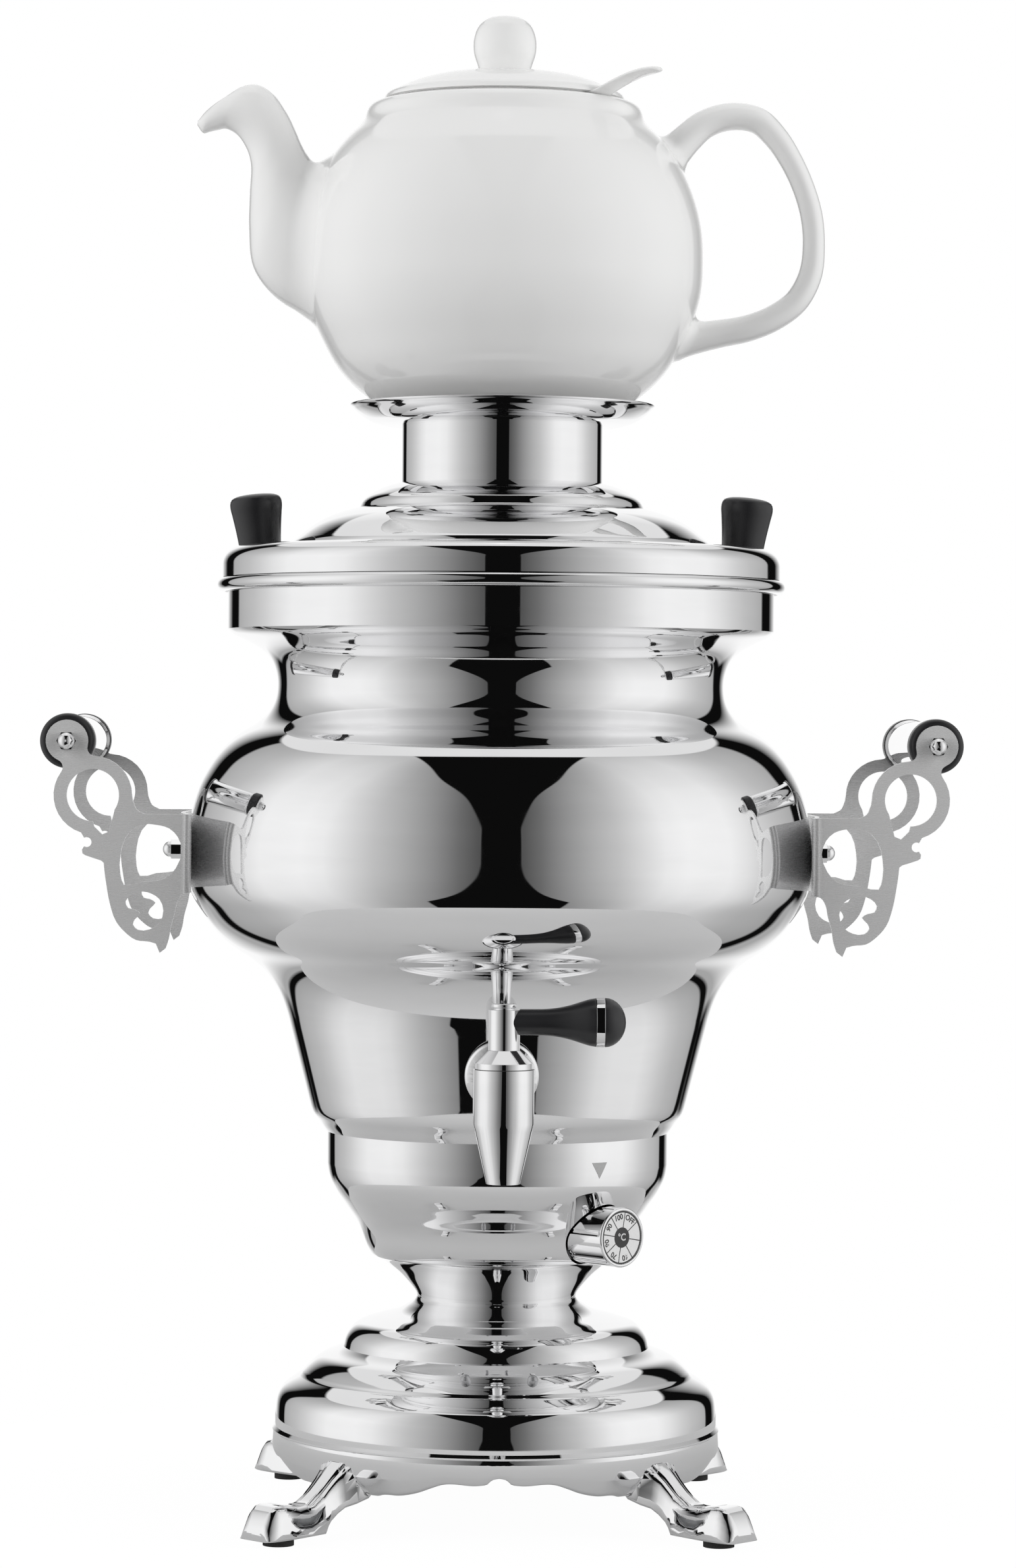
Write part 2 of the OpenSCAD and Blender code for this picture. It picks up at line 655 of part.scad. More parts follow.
// Side plate of a handle bracket, seen from the front, as places in X and Z
function on_plate(shares) =
    place([bracket_x, stud_z], [grip_x, grip_z], shares);
function on_turn(angle) = [cos(angle), sin(angle)];
function lean_angle(a, b, d) = acos((a * a + d * d - b * b) / (2 * a * d));
ring_centre = on_plate([ring_place_shares])[0];
lobe_centre = [grip_x, grip_z];
link = lobe_centre - ring_centre;
link_angle = atan2(link[1], link[0]);
ring_lean = lean_angle(ring_r + neck_round, lobe_r + neck_round, norm(link));
lobe_lean = lean_angle(lobe_r + neck_round, ring_r + neck_round, norm(link));
function neck_centre(side) =
    ring_centre + (ring_r + neck_round) * on_turn(link_angle + side * ring_lean);
plate_path = concat(
    [[bracket_x - overrun, stud_z + web_top_share * bracket_rise]],
    curve(on_plate(plate_top_shares)),
    arc(ring_centre, ring_r, 180, link_angle + ring_lean, arc_step_angle),
    arc(neck_centre(1), neck_round, link_angle + ring_lean + 180,
        link_angle - lobe_lean + 360, 2 * arc_step_angle),
    arc(lobe_centre, lobe_r, link_angle + 180 - lobe_lean, link_angle - 180 + lobe_lean,
        arc_step_angle),
    arc(neck_centre(-1), neck_round, link_angle + lobe_lean, link_angle - ring_lean + 180,
        2 * arc_step_angle),
    arc(ring_centre, ring_r, link_angle - ring_lean, ring_low_angle, arc_step_angle),
    arc(on_plate([notch_place_shares])[0], notch_r, 180 - notch_half_angle,
        180 + notch_half_angle, 2 * arc_step_angle),
    on_plate(plate_thorn_shares),
    curve(on_plate(plate_side_shares)),
    on_plate([plate_tail_shares[0]]),
    curve(on_plate([for (i = [1 : len(plate_tail_shares) - 1]) plate_tail_shares[i]])),
    [[bracket_x - overrun, stud_z + web_low_share * bracket_rise]]
);
// Bent strip that the bracket is made of, seen from above
bend_y = plate_outer - bend_r;
strip_end_x = grip_x + lobe_r + overrun;
strip_path = concat(
    [[strip_end_x, plate_outer]],
    arc([bracket_x + bend_r, bend_y], bend_r, 90, 180, bend_step_angle),
    [for (k = [1 : web_steps - 1]) let (t = 1 - 2 * k / web_steps)
        [bracket_x + web_bow * (1 - t * t), t * bend_y]],
    arc([bracket_x + bend_r, -bend_y], bend_r, 180, 270, bend_step_angle),
    [[strip_end_x, -plate_outer]]
);

// Sheet of even thickness turned about the axis, its outline on the outside
module sheet(path, wall) {
    rotate_extrude($fn = round_fn) polygon(concat(path, reversed(inset(path, wall))));
}
// Solid turned about the axis between an outline and the axis
module turned(path, fn = small_fn) {
    last = path[len(path) - 1];
    rotate_extrude($fn = fn)
        polygon(concat([[0, path[0][1]]], path, last[0] > 0 ? [[0, last[1]]] : []));
}
module tube(outer, inner, h) {
    difference() {
        cylinder(r = outer, h = h, $fn = small_fn);
        translate([0, 0, -overrun]) cylinder(r = inner, h = h + 2 * overrun, $fn = small_fn);
    }
}
module hexagon(flat_w, h) {
    cylinder(r = flat_w / sqrt(3), h = h, $fn = 6);
}
module hex_nut(flat_w, h, bore_r) {
    difference() {
        hexagon(flat_w, h);
        translate([0, 0, -overrun]) cylinder(r = bore_r, h = h + 2 * overrun, $fn = small_fn);
    }
}
// Closed nut over the end of a bolt
module acorn_nut() {
    difference() {
        union() {
            hexagon(acorn_flat_w, acorn_h);
            translate([0, 0, acorn_h]) intersection() {
                sphere(r = acorn_dome_r, $fn = small_fn);
                translate([0, 0, -acorn_dome_r / 2])
                    cylinder(r = 2 * acorn_dome_r, h = 2 * acorn_dome_r, $fn = small_fn);
            }
        }
        translate([0, 0, -overrun])
            cylinder(r = small_bolt_r + seat_gap, h = acorn_bore_h + overrun, $fn = small_fn);
    }
}
// Children's +Z points out from the axis at an azimuth and a height, their +Y stays up
module outward(azimuth_angle, z) {
    rotate([0, 0, azimuth_angle]) translate([0, 0, z]) rotate([90, 0, 0]) children();
}
// Children drawn for +X are put on the side that is asked for
module on_side(side) {
    mirror([side < 0 ? 1 : 0, 0, 0]) children();
}
// Solid through rings of points that all have the same count
module loft(rings) {
    n = len(rings[0]);
    last = (len(rings) - 1) * n;
    polyhedron(
        points = [for (r = rings) each r],
        faces = concat(
            [[for (i = [0 : n - 1]) i]],
            [for (k = [0 : len(rings) - 2]) for (i = [0 : n - 1])
                [k * n + i, (k + 1) * n + i, k * n + (i + 1) % n]],
            [for (k = [0 : len(rings) - 2]) for (i = [0 : n - 1])
                [k * n + (i + 1) % n, (k + 1) * n + i, (k + 1) * n + (i + 1) % n]],
            [[for (i = [n - 1 : -1 : 0]) last + i]]
        )
    );
}
// Inside of the tank's taper, moved out by a distance
module taper_cone(out) {
    translate([0, 0, taper_low_z])
        cylinder(r1 = taper_low_r + out, r2 = taper_top_r + out, h = taper_h, $fn = round_fn);
}

module tank() {
    inner = [for (p = inset(tank_path, tank_wall)) if (p[1] > tank_z + floor_t) p];
    bead_start = acos(1 - tank_wall / bead_r) - 180;
    color("gainsboro") difference() {
        rotate_extrude($fn = round_fn) polygon(concat(
            [[0, tank_z]], tank_path,
            arc([mouth_r + bead_r, bead_z], bead_r, bead_start, 180, bead_step_angle),
            reversed(inner),
            [[inner[0][0], tank_z + floor_t], [0, tank_z + floor_t]]
        ));
        outward(0, tail_z) cylinder(r = tail_r + seat_gap, h = belly_r, $fn = small_fn);
        for (side = [-1, 1]) translate([side * element_leg_x, element_leg_y, tank_z - overrun])
            cylinder(r = element_post_r + seat_gap, h = floor_t + 2 * overrun, $fn = small_fn);
    }
}

module heater_housing() {
    color("gainsboro") difference() {
        sheet(housing_path, base_wall);
        outward(knob_angle, knob_z) translate([0, 0, knob_reach - knob_depth - overrun])
            cylinder(r = knob_r + knob_hole_gap, h = knob_depth, $fn = small_fn);
    }
}

module at_lamp(side) {
    spot = tier([lamp_place_shares])[0];
    rotate([0, 0, side * lamp_angle]) translate([0, -spot[0], spot[1]])
        rotate([lamp_tilt_angle, 0, 0]) children();
}
module pedestal() {
    color("gainsboro") difference() {
        sheet(pedestal_path, base_wall);
        for (side = [-1, 1]) at_lamp(side) translate([0, 0, -lamp_body_h])
            cylinder(r = lamp_r + seat_gap, h = 2 * lamp_body_h, $fn = small_fn);
        outward(180, skirt_top_z + grommet_rise)
            cylinder(r = grommet_neck_r + seat_gap, h = skirt_r + overrun, $fn = small_fn);
    }
}
module pilot_lamp(side) {
    neck_low = -base_wall - lamp_stand_out;
    color("whitesmoke") at_lamp(side) {
        translate([0, 0, neck_low])
            cylinder(r = lamp_r, h = lamp_stand_out - neck_low, $fn = small_fn);
        translate([0, 0, neck_low - lamp_body_h])
            cylinder(r = lamp_body_r, h = lamp_body_h, $fn = small_fn);
        translate([0, 0, lamp_stand_out]) intersection() {
            sphere(r = lamp_r, $fn = small_fn);
            translate([0, 0, -lamp_r / 4])
                cylinder(r = 2 * lamp_r, h = 2 * lamp_r, $fn = small_fn);
        }
    }
}

module base_skirt() {
    half = scaled(scallop_shares, scallop_half_w, skirt_h);
    outline = concat(half, [for (i = [len(half) - 2 : -1 : 0]) [-half[i][0], half[i][1]]]);
    ledge_out_r = skirt_r - skirt_wall / 2;
    ledge_in_r = skirt_r - skirt_wall - ledge_w;
    color("gainsboro") union() {
        difference() {
            sheet(skirt_path, skirt_wall);
            for (k = [0 : side_count - 1]) outward(k * 360 / side_count, skirt_lift)
                translate([0, 0, scallop_half_w + lift_gap])
                    linear_extrude(skirt_r) polygon(curve(outline, 2));
            for (a = leg_angles) outward(a, skirt_lift + leg_screw_rise)
                translate([0, 0, skirt_r / 2])
                    cylinder(r = leg_screw_r + seat_gap, h = skirt_r, $fn = small_fn);
        }
        translate([0, 0, skirt_top_z - ledge_drop - ledge_h]) difference() {
            cylinder(r = ledge_out_r, h = ledge_h, $fn = round_fn);
            translate([0, 0, -overrun])
                cylinder(r = ledge_in_r, h = ledge_h + 2 * overrun, $fn = round_fn);
        }
    }
}

function leg_section(s) =
    let (
        low = pad_h + s[1] * (skirt_lift + leg_top_h - pad_h),
        top = pad_h + s[2] * (skirt_lift + leg_top_h - pad_h)
    )
    [for (q = leg_section_shares) [
        q[0] * foot_half_w * (s[3] + (s[4] - s[3]) * q[1]),
        -leg_root_r - s[0] * leg_run,
        low + q[1] * (top - low) - q[2] * s[5] * leg_groove
    ]];
module leg(azimuth_angle) {
    outer = inset(skirt_path, -seat_gap);
    color("gainsboro") rotate([0, 0, azimuth_angle]) difference() {
        loft([for (s = leg_shares) leg_section(s)]);
        turned(concat([[outer[0][0], skirt_lift - seat_gap]], outer), round_fn);
        outward(0, skirt_lift + leg_screw_rise)
            cylinder(r = leg_screw_r + seat_gap, h = skirt_r + leg_screw_bite + seat_gap,
                $fn = small_fn);
    }
}
module leg_screws() {
    head_r = skirt_r - leg_screw_recess;
    color("silver") for (a = leg_angles) outward(a, skirt_lift + leg_screw_rise) {
        translate([0, 0, head_r - leg_screw_head_h])
            cylinder(r = leg_screw_head_r, h = leg_screw_head_h, $fn = small_fn);
        translate([0, 0, head_r - leg_screw_head_h / 2])
            cylinder(r = leg_screw_r,
                h = skirt_r + leg_screw_bite - head_r + leg_screw_head_h / 2, $fn = small_fn);
    }
}
module foot_pads() {
    color("black") for (a = leg_angles) rotate([0, 0, a])
        translate([0, pad_inset - leg_reach, 0]) cylinder(r = pad_r, h = pad_h, $fn = small_fn);
}

module bottom_cover() {
    color("silver") difference() {
        translate([0, 0, cover_z])
            cylinder(r = skirt_r - skirt_wall - lift_gap, h = cover_t, $fn = round_fn);
        translate([0, 0, cover_z - overrun])
            cylinder(r = tie_rod_r + seat_gap, h = cover_t + 2 * overrun, $fn = small_fn);
    }
}
module cord_grommet() {
    neck_h = base_wall + 2 * grommet_flange_h + 2 * seat_gap;
    color("black") outward(180, skirt_top_z + grommet_rise)
        translate([0, 0, pedestal_r + seat_gap + grommet_flange_h]) mirror([0, 0, 1])
            difference() {
                union() {
                    cylinder(r = grommet_flange_r, h = grommet_flange_h, $fn = small_fn);
                    cylinder(r = grommet_neck_r, h = neck_h, $fn = small_fn);
                }
                translate([0, 0, -overrun])
                    cylinder(r = grommet_bore_r, h = neck_h + 2 * overrun, $fn = small_fn);
            }
}
module terminal_block() {
    color("ivory") translate([0, terminal_reach, cover_z + cover_t]) difference() {
        translate([-terminal_w / 2, -terminal_d / 2, 0])
            cube([terminal_w, terminal_d, terminal_h]);
        for (k = [0 : terminal_count - 1])
            translate([(k - (terminal_count - 1) / 2) * terminal_pitch, 0, terminal_h / 2])
                cylinder(r = terminal_hole_r, h = terminal_h, $fn = small_fn);
    }
}
module tie_rod() {
    low = cover_z - rod_tail;
    color("silver") translate([0, 0, low])
        cylinder(r = tie_rod_r, h = tank_z - low, $fn = small_fn);
}
module tie_rod_nut() {
    color("silver") translate([0, 0, cover_z - rod_nut_h])
        hex_nut(rod_nut_flat_w, rod_nut_h, tie_rod_r + seat_gap);
}

// Ring of the heating element, open at the back, on two posts through the tank's floor
module heating_element() {
    color("dimgray") {
        translate([0, 0, tank_z + element_rise]) rotate([0, 0, 90 + element_open_angle])
            rotate_extrude(angle = 360 - 2 * element_open_angle, $fn = round_fn)
                translate([element_ring_r, 0]) circle(r = element_r, $fn = small_fn);
        for (side = [-1, 1]) translate([side * element_leg_x, element_leg_y, tank_z - element_tail])
            cylinder(r = element_post_r,
                h = element_tail + element_rise + element_post_r, $fn = small_fn);
    }
}
module heater_nuts() {
    color("silver") for (side = [-1, 1])
        translate([side * element_leg_x, element_leg_y, tank_z - heater_nut_h])
            hex_nut(heater_nut_flat_w, heater_nut_h, element_post_r + seat_gap);
}
module heater_gaskets() {
    color("black") for (side = [-1, 1])
        translate([side * element_leg_x, element_leg_y, tank_z + floor_t])
            tube(gasket_r, element_post_r + seat_gap, gasket_t);
}

module thermostat_body() {
    color("ivory") outward(knob_angle, knob_z) difference() {
        translate([-thermostat_w / 2, -thermostat_h / 2, thermostat_reach - thermostat_d])
            cube([thermostat_w, thermostat_h, thermostat_d]);
        translate([0, 0, thermostat_reach - spindle_bite])
            cylinder(r = spindle_r + turn_gap, h = spindle_bite + overrun, $fn = small_fn);
    }
}
module thermostat_bracket() {
    strip_top = tank_z - knob_z;
    color("silver") outward(knob_angle, knob_z) difference() {
        union() {
            translate([-strip_w / 2, -thermostat_h / 2, thermostat_reach])
                cube([strip_w, strip_top + thermostat_h / 2, strip_t]);
            translate([-strip_w / 2, strip_top - strip_t, thermostat_reach - strip_foot])
                cube([strip_w, strip_t, strip_foot + strip_t]);
        }
        translate([0, 0, thermostat_reach - overrun])
            cylinder(r = spindle_r + lift_gap / 2, h = strip_t + 2 * overrun, $fn = small_fn);
    }
}
module control_spindle() {
    back = thermostat_reach - spindle_bite + seat_gap;
    front = knob_reach - knob_depth + knob_bore_h - seat_gap;
    color("silver") outward(knob_angle, knob_z) translate([0, 0, back])
        cylinder(r = spindle_r, h = front - back, $fn = small_fn);
}
module thermostat_knob() {
    back = knob_reach - knob_depth;
    dial_r = knob_r - dial_rim;
    color("black") outward(knob_angle, knob_z) difference() {
        translate([0, 0, back]) turned([
            [knob_r - knob_bevel, 0], [knob_r, knob_bevel],
            [knob_r, knob_depth - knob_bevel], [knob_r - knob_bevel, knob_depth]
        ]);
        translate([0, 0, back - overrun])
            cylinder(r = spindle_r + seat_gap, h = knob_bore_h + overrun, $fn = small_fn);
        translate([0, 0, knob_reach - dial_t - dial_inset])
            cylinder(r = dial_r + seat_gap, h = dial_t + dial_inset + overrun, $fn = small_fn);
        for (k = [0 : flute_count - 1]) rotate([0, 0, k * 360 / flute_count])
            translate([knob_r + flute_r - flute_depth, 0, back - overrun])
                cylinder(r = flute_r, h = knob_depth + 2 * overrun, $fn = small_fn);
    }
}
module dial_face() {
    color("white") outward(knob_angle, knob_z)
        translate([0, 0, knob_reach - dial_t - dial_inset])
            cylinder(r = knob_r - dial_rim, h = dial_t, $fn = small_fn);
}
module thermal_cutout() {
    color("dimgray") translate([-cutout_reach, 0, tank_z - cutout_h])
        cylinder(r = cutout_r, h = cutout_h, $fn = small_fn);
}

module at_tap() {
    translate([0, -tap_reach, 0]) children();
}
module tap_body() {
    chamber_z = barrel_low_z + plug_floor;
    color("gainsboro") difference() {
        union() {
            at_tap() translate([0, 0, outlet_z])
                cylinder(r1 = outlet_r, r2 = barrel_r, h = outlet_h, $fn = small_fn);
            at_tap() translate([0, 0, barrel_low_z])
                cylinder(r = barrel_r, h = barrel_h, $fn = small_fn);
            outward(0, tail_z) translate([0, 0, tap_reach - tail_in])
                cylinder(r = tail_r, h = tail_in, $fn = small_fn);
        }
        at_tap() {
            translate([0, 0, barrel_top_z])
                cylinder(r = bonnet_r + turn_gap, h = tail_r, $fn = small_fn);
            translate([0, 0, chamber_z])
                cylinder(r = plug_r + turn_gap, h = barrel_h, $fn = small_fn);
            translate([0, 0, outlet_z - overrun])
                cylinder(r = water_r, h = outlet_h + barrel_h / 2, $fn = small_fn);
        }
        outward(0, tail_z) translate([0, 0, tap_reach - tail_in - overrun])
            cylinder(r = tail_bore_r, h = tail_in + overrun, $fn = small_fn);
    }
}
module tap_bonnet() {
    color("gainsboro") at_tap() translate([0, 0, barrel_top_z]) difference() {
        union() {
            cylinder(r = bonnet_r, h = bonnet_rim_h, $fn = small_fn);
            translate([0, 0, bonnet_rim_h])
                cylinder(r1 = bonnet_r - seat_gap, r2 = collar_stem_r, h = bonnet_h - bonnet_rim_h,
                    $fn = small_fn);
        }
        translate([0, 0, -overrun])
            cylinder(r = stem_r + turn_gap, h = bonnet_h + 2 * overrun, $fn = small_fn);
    }
}
module tap_plug() {
    low = barrel_low_z + plug_floor + seat_gap;
    plug_h = barrel_top_z - seat_gap - low;
    collar_low = bonnet_h + seat_gap;
    color("silver") at_tap() difference() {
        union() {
            translate([0, 0, low]) cylinder(r = plug_r, h = plug_h, $fn = small_fn);
            translate([0, 0, low])
                cylinder(r = stem_r, h = barrel_top_z + bonnet_h + overrun - low, $fn = small_fn);
            translate([0, 0, barrel_top_z + collar_low])
                cylinder(r = collar_stem_r, h = collar_stem_h - seat_gap, $fn = small_fn);
            translate([0, 0, lever_z]) rotate([0, 90, 0])
                cylinder(r = lever_rod_r, h = lever_ring_x + lever_ring_h + lever_rod_in,
                    $fn = small_fn);
        }
        translate([0, 0, low - overrun])
            cylinder(r = water_r, h = tail_z - low + overrun, $fn = small_fn);
        translate([0, 0, tail_z]) rotate([0, -90, 0])
            cylinder(r = tail_bore_r, h = plug_r + overrun, $fn = small_fn);
    }
}
module tap_cap() {
    color("silver") at_tap() translate([0, 0, barrel_top_z + bonnet_h + collar_stem_h]) {
        cylinder(r = cap_waist_r, h = cap_waist_h, $fn = small_fn);
        translate([0, 0, cap_waist_h]) turned([
            [cap_r - cap_drop, 0], [cap_r, cap_drop], [cap_r, cap_h - cap_drop],
            [cap_r - cap_drop, cap_h]
        ]);
    }
}
// Children's +Z runs along the lever from the tap's axis
module at_lever() {
    at_tap() translate([0, 0, lever_z]) rotate([0, 90, 0]) children();
}
module tap_lever() {
    color("black") difference() {
        at_lever() difference() {
            turned(curve([for (s = lever_shares) [s[1] * lever_r, s[0] * lever_ring_x]]));
            translate([0, 0, -overrun])
                cylinder(r = lever_rod_r + seat_gap, h = lever_reach, $fn = small_fn);
        }
        at_tap() translate([0, 0, lever_z - lever_r])
            cylinder(r = collar_stem_r + seat_gap, h = 2 * lever_r, $fn = small_fn);
    }
}
module lever_ring() {
    color("silver") at_lever() translate([0, 0, lever_ring_x])
        tube(lever_r, lever_rod_r + seat_gap, lever_ring_h);
}
module lever_tip() {
    tip = scaled(arc([0, 0], 1, 0, 90, arc_step_angle), lever_r, lever_tip_h);
    color("black") at_lever() translate([0, 0, lever_ring_x + lever_ring_h]) difference() {
        turned(tip);
        translate([0, 0, -overrun])
            cylinder(r = lever_rod_r + seat_gap, h = lever_rod_in + seat_gap + overrun,
                $fn = small_fn);
    }
}

// Frame on the taper where the tap's tail passes, +Z square to the wall
module at_tail_wall() {
    outward(0, tail_z) translate([0, 0, tail_wall_r]) rotate([taper_angle, 0, 0]) children();
}
module tail_hole() {
    outward(0, tail_z) cylinder(r = tail_r + seat_gap, h = tap_reach, $fn = small_fn);
}
module tap_rosette() {
    color("gainsboro") difference() {
        at_tail_wall() translate([0, 0, gasket_t]) turned(
            [for (s = rosette_shares) [s[0] * rosette_r, s[1] * rosette_h]]);
        taper_cone(gasket_t + seat_gap);
        tail_hole();
    }
}
module tap_gaskets() {
    color("black") difference() {
        union() {
            intersection() {
                at_tail_wall() translate([0, 0, -rosette_h])
                    cylinder(r = rosette_r - gasket_t, h = 2 * rosette_h, $fn = small_fn);
                difference() {
                    taper_cone(gasket_t);
                    taper_cone(seat_gap);
                }
            }
            intersection() {
                outward(0, tail_z) translate([0, 0, tail_wall_r - tail_nut_back])
                    cylinder(r = wedge_r, h = tail_nut_back * 2, $fn = small_fn);
                taper_cone(-tank_wall - seat_gap);
            }
        }
        tail_hole();
    }
}
module tap_tail_nut() {
    color("silver") outward(0, tail_z)
        translate([0, 0, tail_wall_r - tail_nut_back - tail_nut_h])
            hex_nut(tail_nut_flat_w, tail_nut_h, tail_r + seat_gap);
}

// Profile in X and Z carried through a width along Y that ends at y
module across(y, w) {
    translate([0, y, 0]) rotate([90, 0, 0]) linear_extrude(w) children();
}
module along_grip(y) {
    translate([grip_x, y, grip_z]) rotate([90, 0, 0]) children();
}
module bracket() {
    side_w = bend_r + plate_t;
    low_z = stud_z - bracket_rise;
    web_low_z = stud_z + web_low_share * bracket_rise;
    web_h = (web_top_share - web_low_share) * bracket_rise;
    color("silver") difference() {
        intersection() {
            translate([0, 0, low_z]) linear_extrude(grip_z + lobe_r + overrun - low_z)
                polygon(concat(strip_path, reversed(inset(strip_path, plate_t))));
            union() {
                across(plate_outer + overrun, side_w + overrun) polygon(plate_path);
                across(side_w - plate_outer, side_w + overrun) polygon(plate_path);
                translate([bracket_x - overrun, -plate_outer, web_low_z])
                    cube([web_bow + plate_t + 2 * overrun, 2 * plate_outer, web_h]);
            }
        }
        for (y = [plate_outer + overrun, side_w - plate_outer]) {
            across(y, side_w + overrun) polygon(ring_curve(on_plate(window_shares), 2));
            across(y, side_w + overrun) polygon(ring_curve(on_plate(trefoil_shares), 2));
            across(y, side_w + overrun) polygon(on_plate(tongue_shares));
        }
        translate([ring_centre[0], plate_outer + overrun, ring_centre[1]]) rotate([90, 0, 0])
            cylinder(r = ring_hole_r, h = 2 * (plate_outer + overrun), $fn = small_fn);
        along_grip(plate_outer + overrun)
            cylinder(r = small_bolt_r + seat_gap, h = 2 * (plate_outer + overrun), $fn = small_fn);
        translate([bracket_x, 0, stud_z]) rotate([0, 90, 0])
            cylinder(r = small_bolt_r + seat_gap, h = web_bow + 2 * plate_t, $fn = small_fn);
    }
}
module bracket_studs() {
    color("silver") for (side = [-1, 1]) on_side(side)
        translate([belly_r, 0, stud_z]) rotate([0, 90, 0])
            cylinder(r = small_bolt_r, h = stud_length, $fn = small_fn);
}
module bracket_nuts() {
    color("gainsboro") for (side = [-1, 1]) on_side(side)
        translate([belly_r + web_seat + plate_t + seat_gap, 0, stud_z])
            rotate([0, 90, 0]) acorn_nut();
}
cap_inner_y = plate_gap / 2 - seat_gap;
barrel_half = cap_inner_y - grip_cap_h - seat_gap;
module grip_barrel() {
    half = [
        [grip_r, barrel_half - 2 * grip_bead_w], [grip_r, barrel_half - grip_bead_w],
        [grip_r + grip_bead, barrel_half - grip_bead_w * 3 / 4],
        [grip_r + grip_bead, barrel_half - grip_bead_w / 4], [grip_r, barrel_half]
    ];
    color("gainsboro") along_grip(0) difference() {
        turned(concat([for (p = reversed(half)) [p[0], -p[1]]], half));
        translate([0, 0, -barrel_half - overrun])
            cylinder(r = small_bolt_r + seat_gap, h = 2 * (barrel_half + overrun),
                $fn = small_fn);
    }
}
module grip_caps() {
    path = concat(
        arc([grip_cap_r - grip_round, grip_round], grip_round, -90, 0, 2 * arc_step_angle),
        [[grip_cap_r, grip_cap_h - grip_edge], [grip_cap_r - grip_edge, grip_cap_h]]
    );
    color("black") for (y = [-1, 1]) along_grip(0) mirror([0, 0, y > 0 ? 0 : 1])
        translate([0, 0, -cap_inner_y]) difference() {
            turned(path);
            translate([0, 0, -overrun])
                cylinder(r = small_bolt_r + seat_gap, h = grip_cap_h + 2 * overrun,
                    $fn = small_fn);
        }
}
module grip_bolts() {
    half = plate_outer + acorn_h;
    color("silver") for (side = [-1, 1]) on_side(side) along_grip(half)
        cylinder(r = small_bolt_r, h = 2 * half, $fn = small_fn);
}
module grip_nuts() {
    color("gainsboro") for (side = [-1, 1]) on_side(side) for (y = [-1, 1])
        along_grip(y * (plate_outer + seat_gap)) mirror([0, 0, y > 0 ? 1 : 0]) acorn_nut();
}

module lid_cover() {
    color("gainsboro") difference() {
        sheet(lid_path, lid_wall);
        for (side = [-1, 1]) translate([side * lid_knob_reach, 0, lid_flat_z - lid_wall - overrun])
            cylinder(r = lid_screw_r + seat_gap, h = lid_wall + 2 * overrun, $fn = small_fn);
    }
}
module lid_ring() {
    out = mouth_r - lift_gap;
    top = lid_flat_z - lid_wall - seat_gap;
    low = lid_z - ring_drop;
    color("silver") rotate_extrude($fn = round_fn) polygon([
        [out, low], [out, top - ring_chamfer], [out - ring_chamfer, top],
        [out - ring_flange_w, top], [out - ring_flange_w, top - lid_wall],
        [out - ring_chamfer, top - lid_wall], [out - lid_wall, top - ring_chamfer],
        [out - lid_wall, low]
    ]);
}
module crown() {
    color("gainsboro") translate([0, 0, crown_z]) difference() {
        cylinder(r = crown_r, h = crown_h, $fn = round_fn);
        translate([0, 0, -overrun])
            cylinder(r = crown_r - lid_wall, h = crown_h + 2 * overrun, $fn = round_fn);
    }
}
module teapot_stand() {
    color("gainsboro") sheet(stand_path, lid_wall);
}
module lid_knob() {
    color("black") difference() {
        translate([lid_knob_reach, 0, lid_flat_z]) rotate([0, lid_knob_lean_angle, 0])
            turned(curve(scaled(lid_knob_shares, lid_knob_r, lid_knob_h), 2));
        translate([lid_knob_reach, 0, lid_flat_z + seat_gap - lid_knob_h])
            cylinder(r = 2 * lid_knob_r, h = lid_knob_h, $fn = small_fn);
        translate([lid_knob_reach, 0, lid_flat_z])
            cylinder(r = lid_screw_r + seat_gap, h = lid_screw_bite + seat_gap, $fn = small_fn);
    }
}
module lid_knob_screws() {
    head_z = lid_flat_z - lid_wall - lid_screw_head_h;
    color("silver") for (side = [-1, 1]) translate([side * lid_knob_reach, 0, head_z]) {
        cylinder(r = lid_screw_head_r, h = lid_screw_head_h, $fn = small_fn);
        cylinder(r = lid_screw_r, h = lid_screw_head_h + lid_wall + lid_screw_bite,
            $fn = small_fn);
    }
}

// Section of the spout between its lower and upper point, thinned by a wall
function spout_section(s, wall) =
    let (
        low = [s[0] * pot_r, s[1] * pot_h],
        top = [s[2] * pot_r, s[3] * pot_h],
        mid = (low + top) / 2,
        up = (top - low) / 2,
        rise = up * (1 - wall / norm(up)),
        half_w = s[4] * pot_r - wall
    )
    [for (k = [0 : spout_sides - 1]) let (a = k * 360 / spout_sides) [
        -mid[0] - rise[0] * cos(a), half_w * sin(a), mid[1] + rise[1] * cos(a)
    ]];
function handle_section(path, i) =
    let (
        p = [path[i][0], path[i][1]],
        ahead = path[min(i + 1, len(path) - 1)] - path[max(i - 1, 0)],
        n = left_of([ahead[0], ahead[1]])
    )
    [for (k = [0 : handle_sides - 1]) let (a = k * 360 / handle_sides) [
        p[0] + n[0] * path[i][2] * cos(a), -path[i][3] * sin(a), p[1] + n[1] * path[i][2] * cos(a)
    ]];
